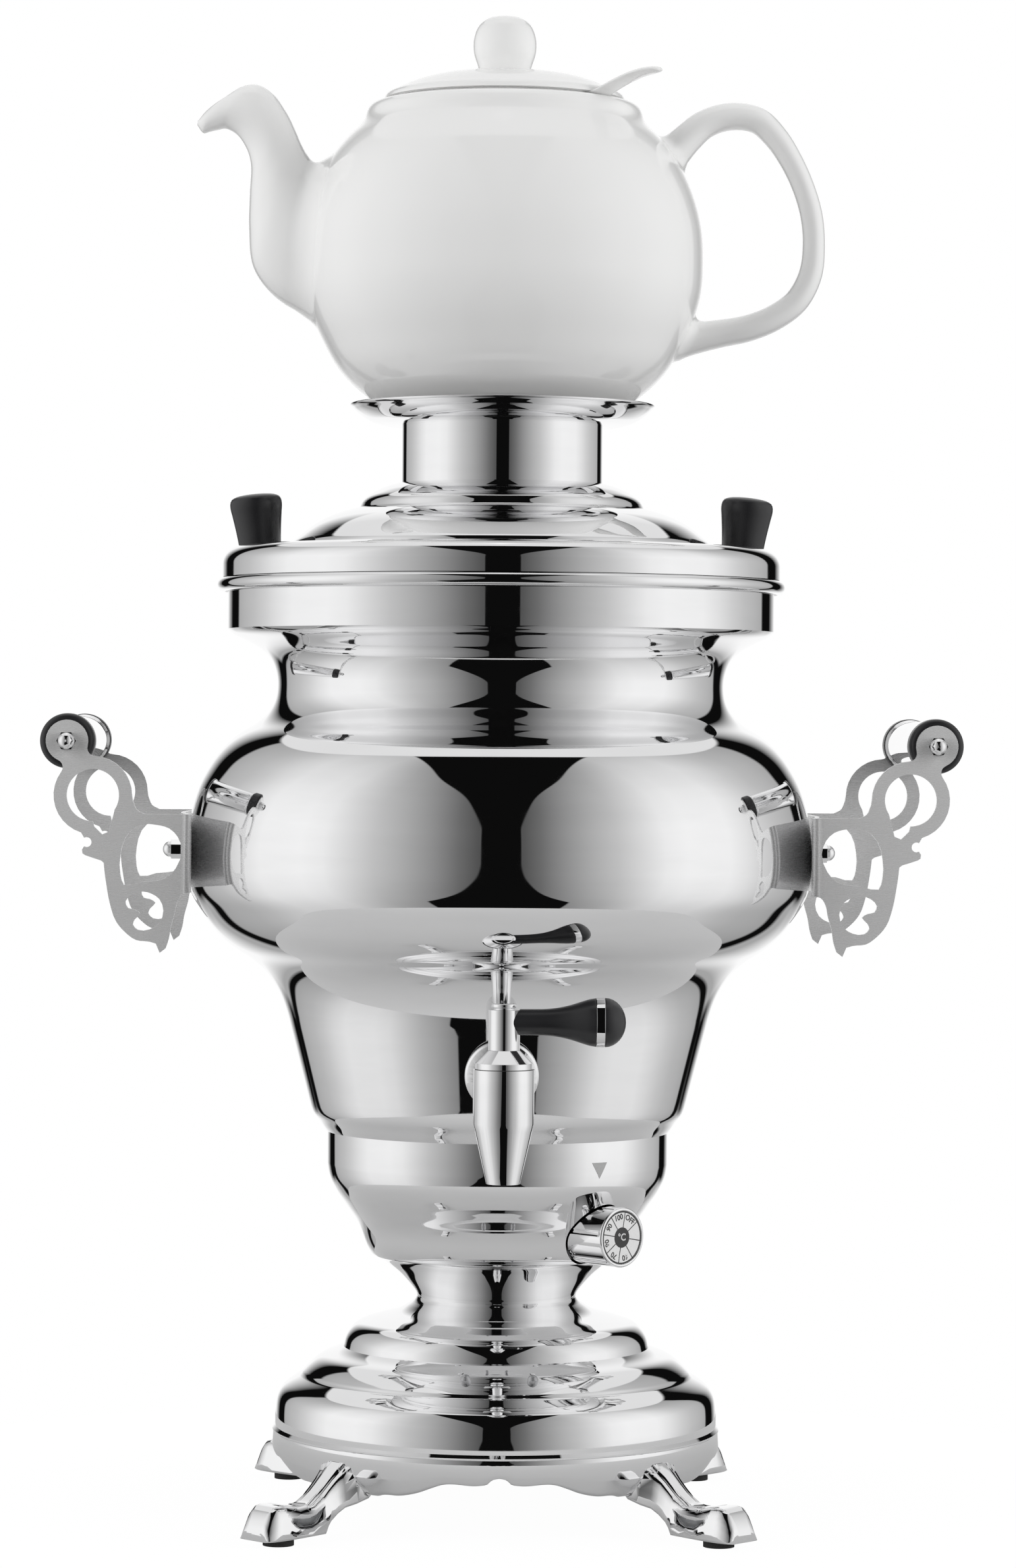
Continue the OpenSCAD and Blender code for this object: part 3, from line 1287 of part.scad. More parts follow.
module teapot() {
    handle_path = [for (s = handle_shares)
        [s[0] * pot_r, s[1] * pot_h, s[2] * pot_r, s[3] * pot_r]];
    neck_h = pot_h - pot_rim_h;
    floor_h = pot_foot_h + pot_wall;
    cavity = [for (p = inset(pot_path, pot_wall))
        if (p[1] > floor_h && p[1] < neck_h && p[0] > pot_mouth_r) p];
    color("white") translate([0, 0, pot_z]) difference() {
        union() {
            turned(pot_path, round_fn);
            loft([for (s = spout_shares) spout_section(s, 0)]);
            loft([for (i = [0 : len(handle_path) - 1]) handle_section(handle_path, i)]);
        }
        turned(concat([[cavity[0][0], floor_h]], cavity,
            [[pot_mouth_r, neck_h], [pot_mouth_r, pot_h + overrun]]), round_fn);
        loft([for (i = [0 : spout_bore_count]) spout_section(spout_shares[i], spout_wall)]);
        translate([0, 0, -overrun])
            cylinder(r = pot_shares[0][0] * pot_r - pot_foot_w, h = pot_foot_h + overrun,
                $fn = round_fn);
    }
}
module radial(azimuth_angle) {
    rotate([0, 0, azimuth_angle - 90]) children();
}
module tea_strainer() {
    path = [
        [basket_r - basket_round, -basket_h], [basket_r, basket_round - basket_h],
        [basket_r, 0], [strainer_rim_r, 0]
    ];
    tab = place([0, 0], [strainer_rim_r, tab_rise], tab_shares);
    tab_end = tab[len(tab) - 1][0] - tab_w / 2;
    color("white") translate([0, 0, strainer_z]) {
        rotate_extrude($fn = round_fn) polygon([
            [0, -basket_h], path[0], path[1], path[2], path[3], [strainer_rim_r, strainer_t],
            [basket_r - basket_wall, strainer_t],
            [basket_r - basket_wall, basket_round - basket_h],
            [basket_r - basket_round, basket_wall - basket_h], [0, basket_wall - basket_h]
        ]);
        radial(tab_angle) intersection() {
            across(tab_w / 2, tab_w) polygon(concat(tab, reversed(inset(tab, strainer_t))));
            translate([0, 0, -overrun]) linear_extrude(tab_rise + strainer_t + 2 * overrun)
                polygon(concat([[0, -tab_w / 2]],
                    arc([tab_end, 0], tab_w / 2, -90, 90, 2 * arc_step_angle),
                    [[0, tab_w / 2]]));
        }
    }
}
module teapot_lid() {
    skirt_out_r = basket_r - basket_wall - lift_gap;
    dome = scaled(pot_lid_shares, pot_lid_r, pot_lid_h);
    knob = [for (s = pot_knob_shares) [s[0] * pot_knob_r, pot_lid_h + s[1] * pot_knob_h]];
    color("white") translate([0, 0, pot_lid_z]) difference() {
        turned(concat(
            [[skirt_out_r, -pot_lid_skirt_h], [skirt_out_r, 0], [pot_lid_r - overrun, 0]],
            curve(dome), curve(knob)), round_fn);
        translate([0, 0, -pot_lid_skirt_h - overrun])
            cylinder(r = skirt_out_r - pot_lid_skirt_w, h = pot_lid_skirt_h + overrun,
                $fn = round_fn);
    }
}

tank();
heater_housing();
pedestal();
base_skirt();
leg(leg_angles[0]);  // leg_front_right
leg(leg_angles[1]);  // leg_front_left
leg(leg_angles[2]);  // leg_rear_right
leg(leg_angles[3]);  // leg_rear_left
leg_screws();
foot_pads();
bottom_cover();
cord_grommet();
terminal_block();
tie_rod();
tie_rod_nut();
heating_element();
heater_nuts();
heater_gaskets();
thermostat_body();
thermostat_bracket();
thermal_cutout();
pilot_lamp(1);  // pilot_lamp_right
pilot_lamp(-1);  // pilot_lamp_left
tap_body();
tap_bonnet();
tap_rosette();
tap_gaskets();
tap_tail_nut();
bracket();  // bracket_right
on_side(-1) bracket();  // bracket_left
bracket_studs();
bracket_nuts();
grip_barrel();  // grip_barrel_right
on_side(-1) grip_barrel();  // grip_barrel_left
grip_caps();  // grip_caps_right
on_side(-1) grip_caps();  // grip_caps_left
grip_bolts();
grip_nuts();
tap_plug();
tap_cap();
tap_lever();
lever_ring();
lever_tip();
thermostat_knob();
dial_face();
control_spindle();
lid_cover();
lid_ring();
crown();
teapot_stand();
lid_knob();  // lid_knob_right
on_side(-1) lid_knob();  // lid_knob_left
lid_knob_screws();
teapot();
tea_strainer();
teapot_lid();
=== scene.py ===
"""Looks of an electric samovar: mirror chrome shells, black plastic and a white porcelain teapot."""

import json
import math

import bmesh
import bpy
import numpy as np
from bpy.props import FloatProperty, FloatVectorProperty, IntProperty, PointerProperty
from mathutils import Matrix, Vector


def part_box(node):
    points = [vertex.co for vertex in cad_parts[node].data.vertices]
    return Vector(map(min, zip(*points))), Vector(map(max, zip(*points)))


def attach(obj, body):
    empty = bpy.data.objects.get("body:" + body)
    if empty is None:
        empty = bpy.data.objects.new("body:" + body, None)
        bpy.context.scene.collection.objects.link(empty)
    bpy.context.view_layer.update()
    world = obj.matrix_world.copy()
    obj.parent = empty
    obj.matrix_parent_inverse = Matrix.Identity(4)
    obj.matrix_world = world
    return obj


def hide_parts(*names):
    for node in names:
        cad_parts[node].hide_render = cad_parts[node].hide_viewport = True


bl_info = {
    "name": "Samovar looks",
    "version": (1, 0, 0),
    "blender": (4, 5, 0),
    "location": "View3D > Sidebar > Samovar",
    "description": "Builds the visible pieces and finishes of an electric samovar",
    "category": "Object",
}

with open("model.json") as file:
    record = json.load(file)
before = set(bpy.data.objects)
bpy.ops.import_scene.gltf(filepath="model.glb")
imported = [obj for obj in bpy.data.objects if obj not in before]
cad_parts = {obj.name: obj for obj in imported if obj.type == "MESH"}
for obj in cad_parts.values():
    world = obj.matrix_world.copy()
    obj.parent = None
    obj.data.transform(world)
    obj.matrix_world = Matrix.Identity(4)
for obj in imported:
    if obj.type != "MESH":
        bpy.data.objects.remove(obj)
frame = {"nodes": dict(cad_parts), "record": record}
MM = 0.001

# Places in millimetres, read from the solids where they show them
TANK_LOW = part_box("tank")[0].z / MM
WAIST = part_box("pedestal")[1].z / MM
SKIRT_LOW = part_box("base_skirt")[0].z / MM
SKIRT_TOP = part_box("base_skirt")[1].z / MM
SKIRT_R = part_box("base_skirt")[1].y / MM
LID_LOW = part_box("lid_cover")[0].z / MM
CROWN_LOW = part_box("crown")[0].z / MM
STAND_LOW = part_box("teapot_stand")[0].z / MM
POT_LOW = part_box("teapot")[0].z / MM

# Radius of the waist, direction of the knob about the upright axis, radius and height of the teapot
WAIST_R = 26.4
KNOB_AZIMUTH = math.radians(41.5)
POT_R, POT_H = 66.1, 105.4

# Outlines of the shells as shares of each stage's width and height
FOOT_SHARES = [(0, 0), (0.05, 0.04), (0.453, 0.402), (0.83, 0.7), (1, 1)]
LOWER_BELLY_SHARES = [
    (0, 0), (0.024, 0.05), (0.083, 0.145), (0.174, 0.24), (0.327, 0.338), (0.56, 0.433),
    (0.726, 0.53), (0.87, 0.657), (0.956, 0.754), (0.99, 0.86), (1, 1),
]
UPPER_BELLY_SHARES = [
    (0, 0), (0.027, 0.167), (0.079, 0.293), (0.161, 0.419), (0.221, 0.48), (0.336, 0.5755),
    (0.5, 0.669), (0.621, 0.716), (0.775, 0.764), (0.872, 0.811), (0.936, 0.858),
    (0.977, 0.905), (1, 1),
]
THROAT_SHARES = [
    (0, 0), (0.018, 0.145), (0.06, 0.29), (0.126, 0.436), (0.251, 0.581), (0.503, 0.732),
    (0.832, 0.877), (0.97, 0.945), (1, 1),
]
FUNNEL_SHARES = [
    (0, 0), (0, 0.04), (0.08, 0.184), (0.225, 0.369), (0.391, 0.553), (0.609, 0.745),
    (0.841, 0.929), (1, 1),
]
BOWL_SHARES = [
    (0, 0), (0.074, 0.053), (0.181, 0.181), (0.242, 0.27), (0.322, 0.355), (0.503, 0.4835),
    (0.624, 0.569), (0.752, 0.655), (0.852, 0.743), (0.94, 0.829), (0.98, 0.914), (1, 1),
]
TIER_LIP_SHARES = [(0, 0), (0, 0.01), (1, 0.033)]
TIER_C_SHARES = [
    (0, 0.034), (0, 0.125), (0.004, 0.185), (0.013, 0.244), (0.041, 0.303), (0.105, 0.362),
    (0.185, 0.415),
]
TIER_B_SHARES = [(0.192, 0.43), (0.24, 0.483), (0.309, 0.542), (0.438, 0.601), (0.48, 0.626)]
TIER_A_SHARES = [
    (0.486, 0.645), (0.488, 0.665), (0.511, 0.722), (0.558, 0.781), (0.7, 0.8405),
    (0.884, 0.9), (0.962, 0.955), (1, 0.985), (1, 1),
]
EDGE_ROUND_SHARES = [(0, 0), (0.6, 0.185), (0.85, 0.585), (1, 1)]
SCALLOP_SHARES = [
    (-1, -0.9), (-1, -0.3), (-0.86, 0.03), (-0.72, 0.06), (-0.58, 0.17), (-0.48, 0.3),
    (-0.4, 0.395), (-0.13, 0.4), (-0.085, 0.43), (-0.05, 0.54), (0, 0.58),
]
LOWER_DOME_SHARES = [
    (0, 0.1), (0.002, 0.14), (0.04, 0.195), (0.163, 0.366), (0.321, 0.562), (0.525, 0.75),
    (0.86, 0.938), (1, 0.99),
]
UPPER_DOME_SHARES = [
    (0.02, 0.04), (0.07, 0.219), (0.16, 0.39), (0.305, 0.544), (0.52, 0.74), (0.734, 0.881),
    (1, 1),
]
STAND_SHARES = [(0, 0), (0.35, 0.16), (0.64, 0.45), (0.88, 0.78), (1, 1)]
LID_KNOB_SHARES = [
    (0.81, 0), (0.81, 0.02), (0.86, 0.3), (0.95, 0.62), (1, 0.8), (0.985, 0.87),
    (0.93, 0.925), (0.8, 0.96), (0.45, 0.992), (0, 1),
]
POT_SHARES = [
    (0.56, 0), (0.568, 0.015), (0.6, 0.037), (0.664, 0.071), (0.759, 0.1205), (0.829, 0.171),
    (0.896, 0.245), (0.955, 0.325), (0.99, 0.405), (1, 0.504), (0.988, 0.618), (0.965, 0.68),
    (0.925, 0.75), (0.846, 0.842), (0.782, 0.891), (0.712, 0.935), (0.697, 0.949),
    (0.693, 0.966), (0.682, 0.984), (0.655, 0.997), (0.62, 1),
]
# Spout rows: lower point, upper point of a section, and half its width
SPOUT_SHARES = [
    (0.877, 0.3425, 0.756, 0.7884, 0.3), (0.971, 0.332, 0.868, 0.807, 0.29),
    (1.145, 0.39, 0.944, 0.8065, 0.25), (1.248, 0.4744, 0.983, 0.833, 0.216),
    (1.275, 0.605, 1.017, 0.87, 0.18), (1.272, 0.7125, 1.048, 0.9146, 0.152),
    (1.268, 0.8065, 1.092, 0.9687, 0.135), (1.295, 0.8596, 1.157, 1.0237, 0.124),
    (1.34, 0.8975, 1.233, 1.052, 0.113), (1.39, 0.9137, 1.304, 1.0493, 0.098),
    (1.433, 0.91, 1.38, 1.0218, 0.082), (1.4735, 0.904, 1.44, 0.997, 0.07),
    (1.505, 0.8995, 1.49, 0.9706, 0.056), (1.5355, 0.9241, 1.5325, 0.938, 0.023),
]
# Handle rows: a point of the centre line, half the thickness and half the width
HANDLE_SHARES = [
    (0.832, 0.8406, 0.09, 0.12), (0.915, 0.8956, 0.078, 0.108), (0.9985, 0.94, 0.072, 0.1),
    (1.156, 0.9677, 0.068, 0.095), (1.271, 0.9545, 0.066, 0.093), (1.3616, 0.9023, 0.062, 0.092),
    (1.437, 0.831, 0.058, 0.091), (1.498, 0.7505, 0.056, 0.091), (1.543, 0.6556, 0.056, 0.091),
    (1.555, 0.57, 0.056, 0.092), (1.5355, 0.4658, 0.06, 0.094), (1.4675, 0.388, 0.063, 0.096),
    (1.3616, 0.3378, 0.065, 0.098), (1.2254, 0.3027, 0.067, 0.1), (1.089, 0.2856, 0.07, 0.105),
    (0.968, 0.272, 0.08, 0.115), (0.87, 0.262, 0.095, 0.125),
]
POT_LID_SHARES = [(1, 0.02), (0.998, 0.1), (0.9, 0.37), (0.746, 0.66), (0.42, 0.955), (0.24, 1)]
POT_KNOB_SHARES = [
    (0.79, 0), (0.86, 0.14), (0.965, 0.31), (1, 0.47), (0.96, 0.66), (0.82, 0.84),
    (0.56, 0.955), (0.25, 0.995), (0, 1),
]


COLOUR = {"min": 0, "max": 1, "subtype": "COLOR"}


class SamovarSizes(bpy.types.PropertyGroup):
    """Sizes that only the looks use"""

    turn_steps: IntProperty(
        name="Turn steps", description="Facets round a turned shell", default=240, min=48, max=360
    )
    outline_spacing: FloatProperty(
        name="Outline spacing", description="Distance between two rings of a turned shell",
        default=0.0009, min=0.0004, max=0.004, unit="LENGTH",
    )
    fairing: FloatProperty(
        name="Fairing", description="Reach over which a turned outline is evened out",
        default=0.0016, min=0, max=0.006, unit="LENGTH",
    )
    edge_round: FloatProperty(
        name="Edge rounding", description="Width of the bevel on cut and pressed edges",
        default=0.00025, min=0, max=0.001, unit="LENGTH",
    )
    porcelain_fillet: FloatProperty(
        name="Porcelain fillet", description="Fillet where the spout and the handle meet the teapot",
        default=0.006, min=0.001, max=0.012, unit="LENGTH",
    )


class SamovarFinishes(bpy.types.PropertyGroup):
    """Colours of the finishes"""

    chrome: FloatVectorProperty(
        name="Chrome", description="Mirror chrome", default=(0.9, 0.9, 0.905), **COLOUR
    )
    satin: FloatVectorProperty(
        name="Satin steel", description="Brushed brackets", default=(0.94, 0.94, 0.94), **COLOUR
    )
    black: FloatVectorProperty(
        name="Black plastic", description="Knobs, lever and grip caps",
        default=(0.012, 0.012, 0.013), **COLOUR
    )
    porcelain: FloatVectorProperty(
        name="Porcelain", description="Glazed white porcelain", default=(0.93, 0.93, 0.925), **COLOUR
    )
    chrome_ripple: FloatProperty(
        name="Chrome ripple", description="Height of the faint waves in the polished chrome",
        default=0.00001, min=0, max=0.0001, unit="LENGTH",
    )


class SamovarStudio(bpy.types.PropertyGroup):
    """Light and camera"""

    panel_azimuth: FloatProperty(
        name="Panel azimuth", description="Middle of a soft panel, from the front",
        default=math.radians(75), subtype="ANGLE",
    )
    panel_elevation: FloatProperty(
        name="Panel elevation", description="Middle of a soft panel, above the horizon",
        default=math.radians(8), subtype="ANGLE",
    )
    panel_half_width: FloatProperty(
        name="Panel half width", description="Half of a soft panel's width as an angle",
        default=math.radians(69.2), subtype="ANGLE",
    )
    panel_half_height: FloatProperty(
        name="Panel half height", description="Half of a soft panel's height as an angle",
        default=math.radians(60), subtype="ANGLE",
    )
    camera_distance: FloatProperty(
        name="Camera distance", description="From the samovar's axis",
        default=1.637, min=0.5, max=5, unit="LENGTH",
    )
    camera_azimuth: FloatProperty(
        name="Camera azimuth", description="Turn of the camera about the samovar's axis",
        default=math.radians(-1.16), subtype="ANGLE",
    )
    camera_height: FloatProperty(
        name="Camera height", description="Above the table",
        default=0.261, min=0, max=2, unit="LENGTH",
    )
    lens: FloatProperty(
        name="Lens", description="Focal length in millimetres", default=113.4, min=20, max=300
    )


# Outlines


def placed(start, end, shares):
    """Points at given shares of the way from one place to another"""
    start, end = np.array(start, float), np.array(end, float)
    return start + (end - start) * np.array(shares, float)[:, :2]


def curve(points, steps=8):
    """Smooth curve through points, its headings weighed by both neighbours"""
    p = np.array(points, float)
    chords = np.linalg.norm(np.diff(p, axis=0), axis=1)
    headings = np.empty_like(p)
    headings[0] = (p[1] - p[0]) / chords[0]
    headings[-1] = (p[-1] - p[-2]) / chords[-1]
    for i in range(1, len(p) - 1):
        a, b = chords[i - 1], chords[i]
        headings[i] = ((p[i] - p[i - 1]) * b / a + (p[i + 1] - p[i]) * a / b) / (a + b)
    rows = []
    for i, d in enumerate(chords):
        for t in np.arange(steps) / steps:
            rows.append(
                (2 * t**3 - 3 * t**2 + 1) * p[i]
                + (t**3 - 2 * t**2 + t) * d * headings[i]
                + (3 * t**2 - 2 * t**3) * p[i + 1]
                + (t**3 - t**2) * d * headings[i + 1]
            )
    return np.array(rows + [p[-1]])


def evened(path, spacing):
    """The same line with points at even spacing"""
    path = np.array(path, float)
    run = np.r_[0, np.cumsum(np.linalg.norm(np.diff(path, axis=0), axis=1))]
    count = max(2, round(run[-1] / spacing) + 1)
    along = np.linspace(0, run[-1], count)
    return np.stack([np.interp(along, run, path[:, i]) for i in range(path.shape[1])], 1)


def faired(path, spacing, reach):
    """An even line with its small unevenness smoothed out, its ends kept"""
    path = evened(path, spacing)
    pad = min(len(path) - 1, math.ceil(3 * reach / spacing))
    if reach <= 0 or pad < 1:
        return path
    before = 2 * path[0] - path[pad:0:-1]
    after = 2 * path[-1] - path[-2 : -pad - 2 : -1]
    line = np.concatenate([before, path, after])
    weights = np.exp(-0.5 * (np.arange(-pad, pad + 1) * spacing / reach) ** 2)
    weights /= weights.sum()
    return np.stack([np.convolve(line[:, i], weights, "valid") for i in range(2)], 1)


def inset(path, wall):
    """Line that runs a wall's thickness to the left of another"""
    path = np.array(path, float)
    steps = np.diff(path, axis=0)
    lefts = np.stack([-steps[:, 1], steps[:, 0]], 1)
    lefts /= np.linalg.norm(lefts, axis=1)[:, None]
    a = np.concatenate([lefts[:1], lefts])
    b = np.concatenate([lefts, lefts[-1:]])
    m = a + b
    m /= np.linalg.norm(m, axis=1)[:, None]
    return path + m * wall / (m * a).sum(1)[:, None]


def arc(centre, radius, start, end, steps=8):
    """Points on an arc, its angles in degrees"""
    a = np.radians(np.linspace(start, end, steps + 1))
    return np.array(centre) + radius * np.stack([np.cos(a), np.sin(a)], 1)


def joined(*paths):
    """One line through several, without doubled points"""
    line = np.concatenate([np.array(p, float).reshape(-1, 2) for p in paths])
    keep = np.r_[True, np.linalg.norm(np.diff(line, axis=0), axis=1) > 1e-5]
    return line[keep]


# Meshes


def linked(name, data):
    """Object of a mesh or of other data, in the scene"""
    obj = bpy.data.objects.new(name, data)
    bpy.context.scene.collection.objects.link(obj)
    return obj


def closed_mesh(name, skin):
    """Mesh of points in metres and faces, its seams joined and its faces turned outwards"""
    mesh = bpy.data.meshes.new(name)
    mesh.from_pydata([tuple(v) for v in skin[0]], [], skin[1])
    mesh.validate()
    shape = bmesh.new()
    shape.from_mesh(mesh)
    bmesh.ops.remove_doubles(shape, verts=shape.verts, dist=1e-7)
    bmesh.ops.recalc_face_normals(shape, faces=shape.faces)
    shape.to_mesh(mesh)
    shape.free()
    return mesh


def piece(name, skin, finish, smooth_angle=35):
    """Object from points in metres and faces, smooth up to an angle"""
    mesh = closed_mesh(name, skin)
    mesh.shade_smooth()
    mesh.set_sharp_from_angle(angle=math.radians(smooth_angle))
    mesh.materials.append(finish)
    return linked(name, mesh)


def turned(outline, steps, closed=True):
    """Points in metres and faces of an outline in millimetres turned about the upright axis"""
    turn = np.arange(steps) * 2 * math.pi / steps
    vertices, rings = [], []
    for r, z in outline:
        start = len(vertices)
        if abs(r) < 1e-6:
            vertices.append((0, 0, z * MM))
            rings.append([start] * steps)
        else:
            vertices += [(r * math.sin(a) * MM, -r * math.cos(a) * MM, z * MM) for a in turn]
            rings.append(list(range(start, start + steps)))
    faces = []
    for low, high in zip(rings, rings[1:] + rings[:1] if closed else rings[1:]):
        if low[0] == low[1] and high[0] == high[1]:
            continue
        for i in range(steps):
            j = (i + 1) % steps
            faces.append(tuple(dict.fromkeys([low[i], low[j], high[j], high[i]])))
    return vertices, faces


def lofted(rings, ends=True):
    """Points and faces of a skin through closed rings, its ends closed or left open"""
    count = len(rings[0])
    last = (len(rings) - 1) * count
    faces = [tuple(range(count)), tuple(range(last, last + count))] if ends else []
    for k in range(0, last, count):
        for i in range(count):
            j = (i + 1) % count
            faces.append((k + i, k + j, k + count + j, k + count + i))
    return [p for ring in rings for p in ring], faces


def moved(skin, matrix):
    """The skin after a turn and a move"""
    return [matrix @ Vector(v) for v in skin[0]], skin[1]


def in_metres(skin):
    """The skin, its points given in millimetres"""
    return [tuple(c * MM for c in p) for p in skin[0]], skin[1]


def merged(*skins):
    """Several sets of points and faces as one"""
    vertices, faces = [], []
    for points, part in skins:
        shift = len(vertices)
        vertices += [tuple(p) for p in points]
        faces += [tuple(i + shift for i in f) for f in part]
    return vertices, faces


def place(obj, body, slot, *nodes):
    """Piece that rides on a body and stands for solids"""
    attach(obj, body)
    if nodes:
        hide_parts(*nodes)
    return obj


def body_of_node(node):
    """Name of the body that carries a node"""
    bodies = frame["record"]["behaviour"]["bodies"]
    return next(body for body, nodes in bodies.items() if node in nodes)


def slot_of_node(node):
    """Name of the material slot that the record gives a node"""
    rows = frame["record"]["subparts"]
    return next(row["material_slot"] for row in rows if row["node"] == node)


def modified(obj, kind, inputs=(), **settings):
    """The object with a modifier made part of its mesh"""
    made = obj.modifiers.new(kind.lower(), kind)
    for key, value in settings.items():
        setattr(made, key, value)
    for identifier, value in inputs:
        made[identifier] = value
    depsgraph = bpy.context.evaluated_depsgraph_get()
    result = bpy.data.meshes.new_from_object(
        obj.evaluated_get(depsgraph), preserve_all_data_layers=True, depsgraph=depsgraph
    )
    obj.modifiers.clear()
    obj.data = result
    return obj


def dressed(node, finish, smooth_angle=32, edge=None):
    """Copy of a solid with its triangles joined, its edges bevelled and its rounds smooth"""
    edge = sizes().edge_round if edge is None else edge
    mesh = frame["nodes"][node].data.copy()
    shape = bmesh.new()
    shape.from_mesh(mesh)
    bmesh.ops.remove_doubles(shape, verts=shape.verts, dist=2e-6)
    bmesh.ops.dissolve_degenerate(shape, edges=shape.edges, dist=1e-6)
    bmesh.ops.dissolve_limit(
        shape, angle_limit=math.radians(0.6), verts=shape.verts, edges=shape.edges,
        delimit={"NORMAL"},
    )
    shape.to_mesh(mesh)
    shape.free()
    mesh.shade_smooth()
    mesh.materials.clear()
    mesh.materials.append(finish)
    obj = linked(node + "_skin", mesh)
    if edge > 0:
        modified(
            obj, "BEVEL", limit_method="ANGLE", angle_limit=math.radians(40), width=edge, segments=2
        )
    obj.data.set_sharp_from_angle(angle=math.radians(smooth_angle))
    modified(obj, "WEIGHTED_NORMAL", keep_sharp=True, weight=80)
    return place(obj, body_of_node(node), slot_of_node(node), node)


def carved(obj, skin):
    """The object with a closed shape cut out of it"""
    cutter = linked("cutter", closed_mesh("cutter", skin))
    modified(obj, "BOOLEAN", operation="DIFFERENCE", solver="EXACT", object=cutter)
    bpy.data.objects.remove(cutter)
    obj.data.set_sharp_from_angle(angle=math.radians(35))
    return obj


# Node trees


def maths(operation, *values):
    """Result of a math node on numbers and fields"""
    tree = next(value.tree for value in values if isinstance(value, Field))
    return tree.node("ShaderNodeMath", {"operation": operation}, *values)


class Field:
    """A number, a colour or a shape on its way through a node tree"""

    def __init__(self, tree, socket):
        self.tree = tree
        self.socket = socket

    def __getitem__(self, name):
        return Field(self.tree, self.socket.node.outputs[name])

    def __abs__(self):
        return maths("ABSOLUTE", self)

    def __gt__(self, other):
        return maths("GREATER_THAN", self, other)

    def __lt__(self, other):
        return maths("LESS_THAN", self, other)


# Python's signs for a field and a number or another field, in either order
for sign, operation in (
    ("add", "ADD"), ("sub", "SUBTRACT"), ("mul", "MULTIPLY"), ("truediv", "DIVIDE"), ("pow", "POWER"),
):
    setattr(Field, f"__{sign}__", lambda a, b, kind=operation: maths(kind, a, b))
    setattr(Field, f"__r{sign}__", lambda a, b, kind=operation: maths(kind, b, a))


class Tree:
    """Node tree with one method that adds any node"""

    def __init__(self, tree):
        self.tree = tree
        tree.nodes.clear()

    def node(self, kind, settings=None, *values, **named):
        """Node with its settings, its inputs given in order or by name"""
        made = self.tree.nodes.new(kind)
        for key, value in (settings or {}).items():
            setattr(made, key, value)
        for i, value in enumerate(values):
            self.feed(made.inputs[i], value)
        for key, value in named.items():
            self.feed(made.inputs[key.replace("_", " ")], value)
        return Field(self, made.outputs[0]) if made.outputs else made

    def feed(self, socket, value):
        """Link or value for an input"""
        if isinstance(value, Field):
            self.tree.links.new(value.socket, socket)
        else:
            socket.default_value = (*value, 1) if socket.type == "RGBA" else value

    def coordinates(self):
        """The object's own coordinates"""
        return self.node("ShaderNodeTexCoord")["Object"]

    def noise(self, scale, detail, squeeze=None):
        """Noise on the object's own coordinates, squeezed along its axes"""
        where = self.coordinates()
        if squeeze:
            where = self.node("ShaderNodeVectorMath", {"operation": "MULTIPLY"}, where, squeeze)
        return self.node("ShaderNodeTexNoise", None, Vector=where, Scale=scale, Detail=detail)

    def ramp(self, amount, stops):
        """Grey levels that follow an amount, between stops"""
        made = self.node("ShaderNodeValToRGB", None, amount)
        elements = made.socket.node.color_ramp.elements
        while len(elements) < len(stops):
            elements.new(1)
        for element, (at, level) in zip(elements, stops):
            element.position = at
            element.color = (level, level, level, 1)
        return made

    def mix(self, amount, first, second):
        """Colour between two others"""
        made = self.node("ShaderNodeMix", {"data_type": "RGBA"}, amount).socket.node
        first_colour, second_colour, result = made.inputs[6], made.inputs[7], made.outputs[2]
        self.feed(first_colour, first)
        self.feed(second_colour, second)
        return Field(self, result)

    def surface(self, colour, roughness, metallic=0, bump=None, relief=0, **more):
        """Principled surface, in relief where a bump is given"""
        if relief:
            more["Normal"] = self.node(
                "ShaderNodeBump", None, Strength=1, Distance=relief, Height=bump
            )
        shader = self.node(
            "ShaderNodeBsdfPrincipled", None, Base_Color=colour, Roughness=roughness,
            Metallic=metallic, **more,
        )
        self.node("ShaderNodeOutputMaterial", None, shader)

    def grained(self, grain, low, high, dull, gain, metallic=0, relief=0):
        """Surface whose colour, dullness and relief follow one texture"""
        self.surface(self.mix(grain, low, high), dull + grain * gain, metallic, grain, relief)


def mirror_ray(rays):
    """Whether a ray comes from a mirror or a lens"""
    return maths("MAXIMUM", rays["Is Glossy Ray"], rays["Is Transmission Ray"])


